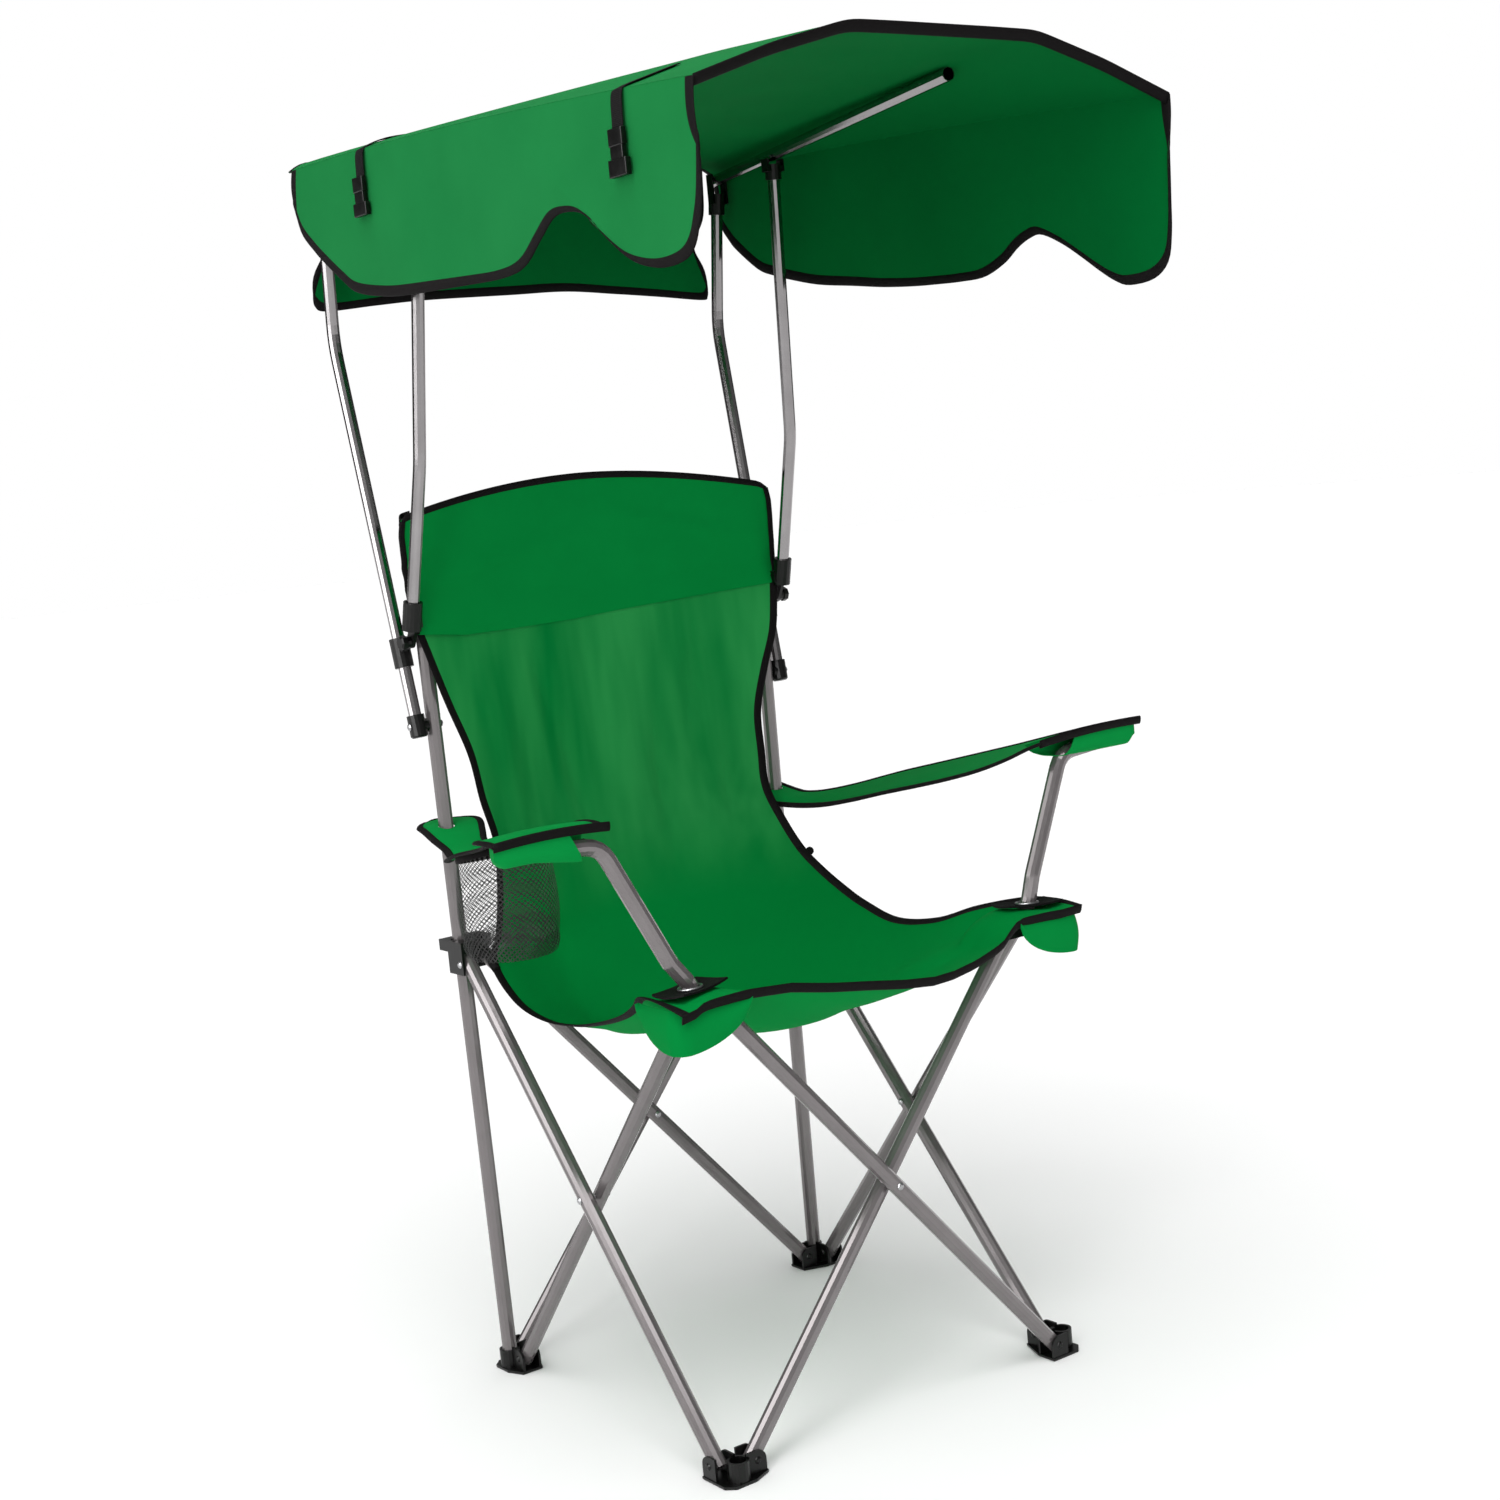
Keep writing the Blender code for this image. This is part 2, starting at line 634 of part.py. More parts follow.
# The floor of a foot: a chamfered plate under the socket and both forks.
def foot_floor(bm, corner):
    wide = FRAME_RADIUS + FORK_PLAY + FORK_WALL + FLOOR_LIP
    edge = PIN_INSET + FORK_RADIUS + FLOOR_LIP
    near = wide - PLANE_OFFSET
    far = wide + PLANE_OFFSET
    low = SOCKET_OUTER + FLOOR_LIP
    plan = [(-far, -near), (-low, -low), (low, -low), (edge, -near),
            (edge, far), (near, edge), (-far, edge)]
    rings = []
    for inset, height in ((FOOT_CHAMFER, 0), (0, FOOT_CHAMFER), (0, FOOT_FLOOR)):
        shrink = 1 - inset / edge
        ring = [bm.verts.new(at_corner(corner, a * shrink, b * shrink, height)) for a, b in plan]
        rings.append(ring)
    for first, second in zip(rings, rings[1:]):
        bridge(bm, first, second)
    bm.faces.new(list(reversed(rings[0])))
    bm.faces.new(rings[-1])


# A foot moulding: floor, socket for a post, and two forks for the leg tubes.
def foot(corner):
    base = bmesh.new()
    foot_floor(base, corner)
    made = from_bmesh("foot_" + CORNERS[corner], base, "black_moulding")
    low = FOOT_FLOOR / 2
    socket_low = at_corner(corner, 0, 0, low)
    socket_high = at_corner(corner, 0, 0, SOCKET_HEIGHT)
    add_part(made, 0, lambda bm: add_cylinder(bm, socket_low, socket_high, SOCKET_OUTER, ROUND_SIDES + 4))
    gap = FRAME_RADIUS + FORK_PLAY
    walls = [(-gap - FORK_WALL, -gap), (gap, gap + FORK_WALL)]
    for index, (near, far) in enumerate(walls):
        start = FORK_START if index else SOCKET_OUTER / 2
        outline = ear_outline(start, PIN_INSET, low, FOOT_PIN_HEIGHT)
        add_part(made, 1 + index, lambda bm: add_plate(
            bm, outline, lambda along, across, up: at_corner(corner, along, PLANE_OFFSET + across, up),
            near, far))
    for index, (near, far) in enumerate(walls):
        start = SOCKET_OUTER / 2 if index else FORK_START
        outline = ear_outline(start, PIN_INSET, low, FOOT_PIN_HEIGHT)
        add_part(made, 3 + index, lambda bm: add_plate(
            bm, outline, lambda along, across, up: at_corner(corner, across - PLANE_OFFSET, along, up),
            near, far))
    socket_end = FOOT_PIN_HEIGHT + FORK_RADIUS + CUT_OVERRUN
    bore_low = socket_place(corner, POST_FLOOR - SEAT_GAP)
    bore_high = socket_place(corner, socket_end)
    boolean(made, cylinder(made.name + "_bore", bore_low, bore_high, FRAME_RADIUS + SOCKET_PLAY,
                           None, ROUND_SIDES + 4))
    add_foot_pins(made, corner)
    return made


# The bore of a rear foot lies on its post's line, and the front ones are upright and empty.
def socket_place(corner, height):
    ways = {2: 1, 3: -1}
    if corner in ways:
        return post_at(ways[corner], height)
    return at_corner(corner, 0, 0, height)


# A hub moulding: two plates outside the leg tubes, and on the posts a block that slides.
def hub(corner, holes):
    gap = FRAME_RADIUS + FORK_PLAY
    rear = corner >= 2
    low = HUB_PIN_HEIGHT - HUB_DROP
    high = HUB_PIN_HEIGHT + (HUB_RISE if rear else FRONT_HUB_RISE)
    far = PLANE_OFFSET + gap + FORK_WALL
    near = gap + FORK_WALL - PLANE_OFFSET
    edge = PIN_INSET + HUB_EDGE
    name = "hub_" + CORNERS[corner]
    top = high + RING_RISE / 2 if rear else high
    start = hub_post_place(corner) + FRAME_RADIUS + RING_PLAY * 3 / 2 if rear else FORK_WALL / 2 - far

    base = bmesh.new()
    add_plate(base, box_outline(-near, edge, low, top),
              lambda along, across, up: at_corner(corner, along, across - PLANE_OFFSET, up),
              -gap - FORK_WALL, -gap)
    made = from_bmesh(name, base, "black_moulding")
    add_part(made, 0, lambda bm: add_plate(
        bm, box_outline(start, edge, low, top),
        lambda along, across, up: at_corner(corner, PLANE_OFFSET + across, along, up),
        -gap - FORK_WALL, -gap))
    if rear:
        plan = [(-far, -far), (edge, -far), (edge, BLOCK_CUT), (BLOCK_CUT, edge), (-far, edge)]
        add_part(made, 1, lambda bm: add_plate(
            bm, plan, lambda a, up, b: at_corner(corner, a, b, up), high, high + RING_RISE))
        way = 1 if corner == 2 else -1
        middle = post_at(way, HUB_PIN_HEIGHT + HUB_RISE + (RING_RISE + HUB_TRAVEL) / 2)
        middle.z = high + RING_RISE / 2
        reach = Vector((way * POST_LEAN_SHARE, 0, 1)) * (RING_RISE / 2 + CUT_OVERRUN)
        boolean(made, cylinder(name + "_bore", middle - reach, middle + reach,
                               FRAME_RADIUS + RING_PLAY, None, ROUND_SIDES + 4))
    drill(made, holes)
    return made


def box_outline(start, end, low, high):
    return [(start, low), (end, low), (end, high), (start, high)]


# How far along the arriving side a post's middle lies from its corner.
def hub_post_place(corner):
    return POST_SET_IN if corner == 2 else -POST_LEAN_SHARE * HUB_PIN_HEIGHT


def hub_rivets(corner):
    half_grip = FRAME_RADIUS + (FORK_PLAY + FORK_WALL) / 2
    shift = (FORK_PLAY + FORK_WALL) / 2
    made = []
    for side, inner in (((corner - 1) % len(CORNERS), True), (corner, False)):
        normal = side_normal(side)
        centre = pin_places(side, inner)[1] + normal * shift
        name = "hub_rivet_%s_%s" % (CORNERS[corner], SIDE_NAMES[side])
        made.append(rivet(name, centre, normal, half_grip))
    return made


# The steel pins moulded into a foot, which the leg tubes turn on.
def add_foot_pins(made, corner):
    half_grip = FRAME_RADIUS + FORK_PLAY + FORK_WALL
    for index, (side, inner) in enumerate(((corner, True), ((corner - 1) % len(CORNERS), False))):
        centre = pin_places(side, inner)[0]
        profile = [(radius, height) for radius, height in rivet_profile(half_grip - 2 * SEAT_GAP)]
        add_part(made, 5 + index, lambda bm: add_turned(bm, centre, side_normal(side), profile))


# Canopy frame places on one side
def strut_points(way):
    return {
        "swing": BASE + Vector((way * SWING_OUT, POST_BACK, SWING_HEIGHT)),
        "rear_bend": BASE + Vector((way * REAR_BEND_OUT, REAR_BEND_BACK, REAR_BEND_HEIGHT)),
        "corner": BASE + Vector((way * CORNER_OUT, CORNER_BACK, CORNER_HEIGHT)),
        "front_foot": BASE + Vector((way * FRONT_FOOT_OUT, FRONT_FOOT_BACK, FRONT_FOOT_HEIGHT)),
        "front_bend": BASE + Vector((way * FRONT_BEND_OUT, FRONT_BEND_BACK, FRONT_BEND_HEIGHT)),
        "pivot": BASE + Vector((way * FRONT_FOOT_OUT, PIVOT_BACK, PIVOT_HEIGHT)),
    }


def bar_out(back):
    return CORNER_OUT - (CORNER_BACK - back) * BAR_TURN_SHARE


def bar_point(way, back):
    part = (CORNER_BACK - back) / (CORNER_BACK + BAR_FRONT)
    height = CORNER_HEIGHT + (BAR_FRONT_HEIGHT - CORNER_HEIGHT) * part
    return BASE + Vector((way * bar_out(back), back, height))


def rear_strut(way, name):
    spots = strut_points(way)
    up = (spots["rear_bend"] - spots["swing"]).normalized()
    down = (spots["corner"] - spots["rear_bend"]).normalized()
    path = rounded_path([
        spots["swing"] + up * CAP_TUBE_START,
        spots["rear_bend"],
        spots["corner"] - down * CORNER_DROP,
    ], STRUT_BEND)
    return tube("rear_strut_" + name, path, CANOPY_TUBE, CANOPY_WALL, "bright_steel")


def end_cap(way, name):
    spots = strut_points(way)
    swing = spots["swing"]
    up = (spots["rear_bend"] - swing).normalized()
    base = bmesh.new()
    chamfer = CAP_RADIUS / 5
    add_turned(base, swing, up, [
        (CAP_RADIUS - chamfer, -CAP_HALF), (CAP_RADIUS, chamfer - CAP_HALF),
        (CAP_RADIUS, CAP_HALF),
    ], ROUND_SIDES)
    made = from_bmesh("end_cap_" + name, base, "black_moulding")
    inward = X_AXIS * -way
    post = post_at(way, SWING_HEIGHT)
    lug = abs(swing.x - post.x) - FRAME_RADIUS - LUG_GAP
    add_part(made, 0, lambda bm: add_cylinder(bm, swing, swing + inward * lug, LUG_RADIUS))
    bore_start = swing + up * (CAP_TUBE_START - SEAT_GAP)
    boolean(made, cylinder(made.name + "_bore", bore_start, swing + up * (CAP_HALF + CUT_OVERRUN),
                           CANOPY_RADIUS + CAP_BORE_PLAY, None))
    hole = cylinder(made.name + "_hole", swing - inward * CAP_HALF * 2, swing + inward * CAP_HALF * 2,
                    PIN_DIAMETER / 2 + PIN_CLEARANCE, None, HOLE_SIDES)
    boolean(made, hole)
    return made


# The bolt that the canopy frame swings on, through the cap's lug and the post.
def swing_bolt(way, name):
    swing = strut_points(way)["swing"]
    outer = swing.x + way * CAP_RADIUS
    inner = post_at(way, SWING_HEIGHT).x - way * FRAME_RADIUS
    middle = Vector(((outer + inner) / 2, swing.y, swing.z))
    return rivet("swing_bolt_" + name, middle, X_AXIS, abs(outer - inner) / 2)


def rear_post(way, name):
    path = [post_at(way, POST_FLOOR), post_at(way, POST_HEIGHT)]
    made = tube("post_" + name, path, FRAME_TUBE, FRAME_WALL, "grey_paint")
    swing = strut_points(way)["swing"]
    reach = X_AXIS * FRAME_TUBE
    centre = Vector((post_at(way, SWING_HEIGHT).x, swing.y, swing.z))
    boolean(made, cylinder(made.name + "_hole", centre - reach, centre + reach,
                           PIN_DIAMETER / 2 + PIN_CLEARANCE, None, HOLE_SIDES))
    return made


# Black corner joint on the rear strut, with two ears that hold the roof bar on moulded pins.
def corner_joint(way, name):
    spots = strut_points(way)
    corner = spots["corner"]
    up = (corner - spots["rear_bend"]).normalized()
    top = corner - up * CORNER_DROP
    bottom = top - up * CORNER_SLEEVE_LENGTH
    outer = CANOPY_RADIUS + CORNER_SLEEVE_WALL
    base = bmesh.new()
    add_cylinder(base, bottom, top, outer)
    made = from_bmesh("corner_joint_" + name, base, "black_moulding")
    ear_low = corner.z - CORNER_DROP - CORNER_SLEEVE_LENGTH / 2
    for index, side in enumerate((-1, 1)):
        inner_x = corner.x + side * EAR_HALF_GAP
        outer_x = corner.x + side * (EAR_HALF_GAP + EAR_WALL)
        low = Vector((min(inner_x, outer_x), corner.y - EAR_HALF_LENGTH, ear_low))
        high = Vector((max(inner_x, outer_x), corner.y + EAR_HALF_LENGTH, corner.z + EAR_ABOVE_PIN))
        add_part(made, index, lambda bm: add_box(bm, low, high))
        tip = X_AXIS * side * (EAR_HALF_GAP - EAR_PIN)
        root = X_AXIS * side * (EAR_HALF_GAP + EAR_WALL / 2)
        ends = (corner + tip, corner + root)
        add_part(made, index + 2, lambda bm: add_cylinder(bm, *ends, PIN_DIAMETER / 2, HOLE_SIDES))
    boolean(made, cylinder(made.name + "_bore", bottom - up * CUT_OVERRUN, top + up * CUT_OVERRUN,
                           CANOPY_RADIUS + CAP_BORE_PLAY, None))
    return made


def roof_bar(way, name):
    front = bar_point(way, -BAR_FRONT)
    rear = bar_point(way, CORNER_BACK)
    along = (rear - front).normalized()
    path = [front, rear + along * BAR_PAST_PIN]
    made = tube("roof_bar_" + name, path, CANOPY_TUBE, CANOPY_WALL, "bright_steel")
    reach = X_AXIS * CANOPY_TUBE
    boolean(made, cylinder(made.name + "_hole", rear - reach, rear + reach,
                           PIN_DIAMETER / 2 + PIN_CLEARANCE, None, HOLE_SIDES))
    return made


# Sleeve that slides on the rear strut, with an eye that the front strut's socket turns on.
def clamp(way, name):
    spots = strut_points(way)
    run = spots["rear_bend"] - spots["swing"]
    up = run.normalized()
    low = spots["swing"] + run * (SLEEVE_LOW - SWING_HEIGHT) / (REAR_BEND_HEIGHT - SWING_HEIGHT)
    high = spots["swing"] + run * (SLEEVE_HIGH - SWING_HEIGHT) / (REAR_BEND_HEIGHT - SWING_HEIGHT)
    base = bmesh.new()
    add_cylinder(base, low, high, SLEEVE_RADIUS)
    made = from_bmesh("clamp_" + name, base, "black_moulding")
    pivot = spots["pivot"]
    outer = pivot.x + way * (PIVOT_GAP / 2)
    layer = (outer, outer + way * PIVOT_LAYER)
    root = Vector((pivot.x, (low.y + high.y) / 2, pivot.z - PIVOT_EYE))
    add_part(made, 0, lambda bm: add_eye(bm, pivot, layer, root))
    boolean(made, cylinder(made.name + "_bore", low - up * CUT_OVERRUN, high + up * CUT_OVERRUN,
                           CANOPY_RADIUS + SLEEVE_PLAY, None))
    boolean(made, pivot_hole(made.name + "_hole", pivot))
    return made


def pivot_hole(name, pivot):
    reach = X_AXIS * CANOPY_TUBE
    return cylinder(name, pivot - reach, pivot + reach, PIN_DIAMETER / 2 + PIN_CLEARANCE, None, HOLE_SIDES)


# A flat eye round the pivot with a web towards the piece that carries it.
def add_eye(bm, pivot, layer, root):
    to_root = Vector((0, root.y - pivot.y, root.z - pivot.z))
    heading = math.atan2(to_root.z, to_root.y)
    outline = []
    steps = HOLE_SIDES // 2
    for step in range(steps + 1):
        angle = heading + math.pi / 2 + math.pi * step / steps
        outline.append((pivot.y + PIVOT_EYE * math.cos(angle), pivot.z + PIVOT_EYE * math.sin(angle)))
    side = Vector((0, -math.sin(heading), math.cos(heading))) * PIVOT_EYE
    outline.append((root.y - side.y, root.z - side.z))
    outline.append((root.y + side.y, root.z + side.z))
    add_plate(bm, outline, lambda along, across, up: Vector((across, along, up)), layer[0], layer[1])


# Socket of the front strut: a cup on the strut's foot, an eye on the clamp's pivot,
# and a clip, open to the front, that snaps round the post.
def strut_socket(way, name):
    spots = strut_points(way)
    foot_end = spots["front_foot"]
    up = (spots["front_bend"] - foot_end).normalized()
    bottom = foot_end - up * STRUT_SOCKET_DEPTH / 2
    top = foot_end + up * STRUT_SOCKET_RISE
    base = bmesh.new()
    add_cylinder(base, bottom, top, SLEEVE_RADIUS)
    made = from_bmesh("strut_socket_" + name, base, "black_moulding")
    pivot = spots["pivot"]
    inner = pivot.x - way * (PIVOT_GAP / 2)
    layer = (inner, inner - way * PIVOT_LAYER)
    add_part(made, 0, lambda bm: add_eye(bm, pivot, layer, bottom + up * STRUT_SOCKET_DEPTH / 4))
    clip_high = top.z - CLIP_DROP
    clip_low = clip_high - CLIP_HEIGHT
    add_part(made, 1, lambda bm: add_clip(bm, way, clip_low, clip_high))
    add_part(made, 2, lambda bm: add_web(bm, way, clip_low, clip_high))
    boolean(made, cylinder(made.name + "_bore", foot_end, top + up * CUT_OVERRUN,
                           CANOPY_RADIUS + CAP_BORE_PLAY, None))
    boolean(made, pivot_hole(made.name + "_hole", pivot))
    return made


# The clip's jaw is deep, so that the post stays clear of it while the clamp slides down.
def add_clip(bm, way, low, high):
    post = post_at(way, (low + high) / 2)
    inner = FRAME_RADIUS + CLIP_PLAY
    outer = inner + CLIP_WALL
    steps = HOLE_SIDES // 2
    outside = [(outer, -CLIP_REACH)]
    inside = [(-inner, -CLIP_REACH)]
    for step in range(steps + 1):
        angle = math.pi * step / steps
        outside.append((outer * math.cos(angle), CLIP_DEPTH + outer * math.sin(angle)))
        inside.append((-inner * math.cos(angle), CLIP_DEPTH + inner * math.sin(angle)))
    outside.append((-outer, -CLIP_REACH))
    inside.append((inner, -CLIP_REACH))
    outline = outside + inside

    def place(along, up, back):
        return Vector((post.x + along, post.y + back, up))

    add_plate(bm, outline, place, low, high)


# The web between the clip and the cup.
def add_web(bm, way, low, high):
    inner = post_at(way, (low + high) / 2).x + way * (FRAME_RADIUS + CLIP_PLAY + CLIP_WALL / 2)
    outer = way * FRONT_FOOT_OUT
    corner_low = Vector((min(inner, outer), BASE_Y + WEB_FRONT, low))
    add_box(bm, corner_low, Vector((max(inner, outer), BASE_Y + WEB_BACK, high)))


def knob(way, name):
    pivot = strut_points(way)["pivot"]
    face = PIVOT_GAP / 2 + PIVOT_LAYER + SEAT_GAP
    inner = PIVOT_GAP / 2 + PIVOT_LAYER
    bm = bmesh.new()
    shank = PIN_DIAMETER / 2
    add_turned(bm, pivot, X_AXIS * way, [
        (shank * 2 / 3, -inner), (shank, shank / 3 - inner), (shank, face),
        (KNOB_RADIUS * 4 / 5, face), (KNOB_RADIUS, face + KNOB_LOBE_DEPTH),
        (KNOB_RADIUS, face + KNOB_HEIGHT - KNOB_LOBE_DEPTH * 2), (KNOB_RADIUS * 4 / 5, face + KNOB_HEIGHT),
    ], KNOB_LOBES * 2)
    for vert in bm.verts:
        off = vert.co - pivot
        angle = math.atan2(off.z, off.y)
        radius = math.hypot(off.y, off.z)
        if radius > shank + SEAT_GAP:
            dip = KNOB_LOBE_DEPTH * (1 - math.cos(KNOB_LOBES * angle)) / 2
            part = (radius - dip) / radius
            vert.co = pivot + Vector((off.x, off.y * part, off.z * part))
    return from_bmesh("knob_" + name, bm, "black_moulding")


# The front strut runs from its socket to just under the roof bar.
def front_strut_line(way):
    spots = strut_points(way)
    top = bar_point(way, COLLAR_BACK)
    up = (top - spots["front_bend"]).normalized()
    foot_end = spots["front_foot"]
    first = (spots["front_bend"] - foot_end).normalized()
    end = top - up * (CANOPY_RADIUS + COLLAR_TOP_GAP)
    return foot_end + first * SEAT_GAP, spots["front_bend"], end, up, top


def front_strut(way, name):
    start, bend, end, up, top = front_strut_line(way)
    return tube("front_strut_" + name, rounded_path([start, bend, end], STRUT_BEND), CANOPY_TUBE,
                CANOPY_WALL, "bright_steel")


# Black collar on top of the front strut, with two low cheeks beside the roof bar.
def strut_collar(way, name):
    start, bend, end, up, top = front_strut_line(way)
    outer = CANOPY_RADIUS + COLLAR_WALL
    base = bmesh.new()
    add_cylinder(base, end - up * COLLAR_LENGTH, end, outer)
    made = from_bmesh("strut_collar_" + name, base, "black_moulding")
    gap = CANOPY_RADIUS + COLLAR_EAR_PLAY
    for index, side in enumerate((-1, 1)):
        near = end.x + side * gap
        far = end.x + side * (gap + COLLAR_WALL)
        low = Vector((min(near, far), end.y - EAR_HALF_LENGTH, end.z - COLLAR_LENGTH / 2))
        high = Vector((max(near, far), end.y + EAR_HALF_LENGTH, end.z + COLLAR_EAR_RISE))
        add_part(made, index, lambda bm: add_box(bm, low, high))
        reach = Vector((min(end.x, far), end.y - EAR_HALF_LENGTH, end.z - COLLAR_LENGTH / 2))
        shelf = Vector((max(end.x, far), end.y + EAR_HALF_LENGTH, end.z - COLLAR_WALL))
        add_part(made, index + 2, lambda bm: add_box(bm, reach, shelf))
    bore_low = end - up * (COLLAR_LENGTH + CUT_OVERRUN)
    boolean(made, cylinder(made.name + "_bore", bore_low, end + up * CUT_OVERRUN,
                           CANOPY_RADIUS + CAP_BORE_PLAY, None))
    return made


# One edge or the middle line of the sling that makes the seat and the back.
def sling_line(shares, way):
    line = []
    for out, back, up in shares:
        place = (way * SLING_HALF * out, SLING_DEPTH * back - SLING_FRONT, SLING_LOW + SLING_RISE * up)
        line.append(BASE + Vector(place))
    return line


# A row across the sling through its two edges and its middle.
# A bow share of 1 flattens it towards the edges.
def sling_row(left, middle, right, columns, bow):
    row = []
    for across in columns:
        lift = across**2 * (1 + 2 * bow * (1 - abs(across)))
        row.append(middle + (right - left) * (across / 2) + ((left + right) / 2 - middle) * lift)
    return row


# Seat: a sling between the hubs, with a round flap hanging from each front corner.
def seat():
    left = sling_line(SEAT_LEFT_SHARES, -1)
    middle = sling_line(SEAT_MIDDLE_SHARES, 1)
    right = sling_line(SEAT_RIGHT_SHARES, 1)
    rows = []
    for index, bow in enumerate(SEAT_BOW_SHARES):
        rows.insert(0, sling_row(left[index], middle[index], right[index], SEAT_COLUMN_SHARES, bow))
    front = rows[-1]
    for part in FLAP_ROW_SHARES:
        row = []
        for point in front:
            off = (SLING_HALF - abs(point.x)) / FLAP_RADIUS
            drop = max(HEM_DROP, FLAP_DROP * math.sqrt(max(0, 1 - off**2)))
            row.append(Vector((point.x, BASE_Y - FLAP_FRONT, point.z - drop * part)))
        rows.append(row)
    made = sheet("seat", rows, CLOTH, "green_cloth")
    for name, side, inner, way in (("left", 3, True, -1), ("right", 1, False, 1)):
        path = rounded_path(arm_line(side, inner, way), ARM_BEND)
        boolean(made, rod("eyelet_cutter_" + name, path, FRAME_TUBE + 2 * EYELET_PLAY, None, HOLE_SIDES))
    return made


# Back panel: carries the sling on up to the pocket band, bellied to the rear between the posts.
def back_panel():
    left = sling_line(BACK_LEFT_SHARES, -1)
    middle = sling_line(BACK_MIDDLE_SHARES, 1)
    right = sling_line(BACK_RIGHT_SHARES, 1)
    lines = (left, middle, right)
    for line in lines:
        line[0] = line[0].lerp(line[1], SEAM_SHARE)
    rows = [sling_row(*points, BACK_COLUMN_SHARES, 0) for points in zip(*lines)]
    return sheet("back_panel", rows, CLOTH, "green_cloth")


# Pocket band: goes round the outside of both posts and is wider than the panel below.
def back_band():
    rows = []
    for share in BAND_ROW_SHARES:
        row = []
        left = band_edge(-1, share)
        right = band_edge(1, share)
        row.extend(left)
        half = -left[-1].x
        for across in BAND_COLUMN_SHARES:
            top = BACK_CORNER + (BACK_CROWN - BACK_CORNER) * (1 - across**2)
            height = BAND_BOTTOM + (top - BAND_BOTTOM) * share
            belly = BACK_BELLY * (1 - across**2) * (1 - share / 3)
            row.append(BASE + Vector((half * across, BACK_EDGE_AT + belly, height)))
        row.extend(reversed(right))
        rows.append(row)
    return sheet("back_band", rows, BAND_THICKNESS, "green_cloth")


# The band's points round one post, from behind it to its front.
def band_edge(way, share):
    height = BAND_POST_BOTTOM + (BACK_CORNER - BAND_POST_BOTTOM) * share
    post = post_at(way, height)
    radius = FRAME_RADIUS + CLOTH_GAP / 2 + BAND_THICKNESS / 2
    points = []
    for degrees in BAND_WRAP_DEGREES:
        angle = math.radians(degrees)
        points.append(post + Vector((way * radius * math.sin(angle), radius * math.cos(angle), 0)))
    return points


# Arm cover: a disc of cloth round the post, a neck, and a pad that hangs over the arm tube's end.
def arm_cover(way, name, with_cup):
    rows = [arm_row(way, share, 0) for share in ARM_PLACE_SHARES]
    rows.extend(arm_row(way, 1, drop) for drop in ARM_DROP_SHARES)
    made = sheet("arm_cover_" + name, rows, CLOTH, "green_cloth")
    low = post_at(way, ARM_NECK_HEIGHT)
    high = post_at(way, ARM_DISC_HEIGHT + ARM_PAD_DROP)
    boolean(made, cylinder(made.name + "_post_hole", low, high, FRAME_RADIUS + CLOTH_GAP / 2, None))
    if with_cup:
        centre = BASE + Vector((way * CUP_OUT, CUP_AT, CUP_RIM_HEIGHT))
        reach = Z_AXIS * CUP_RADIUS
        boolean(made, cylinder(made.name + "_cup_hole", centre - reach, centre + reach,
                               CUP_RADIUS - CUP_WALL * 2, None, ROUND_SIDES + 4))
    return made


# One row of an arm cover's middle points from the left to the right.
def arm_row(way, share, drop):
    back = ARM_DISC_REAR - (ARM_DISC_REAR + ARM_PAD_FRONT) * share
    inner = ARM_DISC_IN + (ARM_PAD_IN - ARM_DISC_IN) * read_share(ARM_INNER_SHARES, share)
    outer = ARM_DISC_OUT + (ARM_PAD_OUT - ARM_DISC_OUT) * read_share(ARM_OUTER_SHARES, share)
    height = ARM_NECK_HEIGHT + (ARM_PAD_HEIGHT - ARM_NECK_HEIGHT) * read_share(ARM_HEIGHT_SHARES, share)
    row = [
        BASE + Vector((way * (inner + (outer - inner) * part), back, height - ARM_PAD_DROP * drop))
        for part in ARM_COLUMN_SHARES
    ]
    return row if way > 0 else row[::-1]


# Net cup under the left arm: a bucket with a wall of one thickness and a slanted rim.
def cup_holder(way):
    bm = bmesh.new()
    centre = BASE + Vector((way * CUP_OUT, CUP_AT, 0))
    depth = CUP_RIM_HEIGHT - CUP_BOTTOM

    def ring(radius, height, slope):
        spots = []
        for step in range(ROUND_SIDES):
            angle = 2 * math.pi * step / ROUND_SIDES
            off = Vector((radius * math.cos(angle), radius * math.sin(angle), 0))
            spots.append(bm.verts.new(centre + off + Z_AXIS * (height - off.y * slope)))
        return spots

    narrow = CUP_RADIUS * CUP_FOOT_SHARE
    rings = [
        ring(narrow, CUP_BOTTOM, 0),
        ring(CUP_RADIUS * CUP_BELLY_SHARE, CUP_BOTTOM + depth / 3, CUP_RIM_SLOPE_SHARE / 3),
        ring(CUP_RADIUS, CUP_RIM_HEIGHT, CUP_RIM_SLOPE_SHARE),
        ring(CUP_RADIUS - CUP_WALL, CUP_RIM_HEIGHT, CUP_RIM_SLOPE_SHARE),
        ring(CUP_RADIUS * CUP_BELLY_SHARE - CUP_WALL, CUP_BOTTOM + depth / 3, CUP_RIM_SLOPE_SHARE / 3),
        ring(narrow - CUP_WALL, CUP_BOTTOM + CUP_WALL, 0),
    ]
    for first, second in zip(rings, rings[1:]):
        bridge(bm, first, second)
    bm.faces.new(list(reversed(rings[0])))
    bm.faces.new(rings[-1])
    return from_bmesh("cup_holder", bm, "black_net")


def fold_height(back):
    front_share = (CANOPY_REAR - back) / (CANOPY_REAR + CANOPY_FRONT)
    return CANOPY_FOLD_HEIGHT - CANOPY_FOLD_FALL * front_share**FOLD_FALL_POWER_SHARE


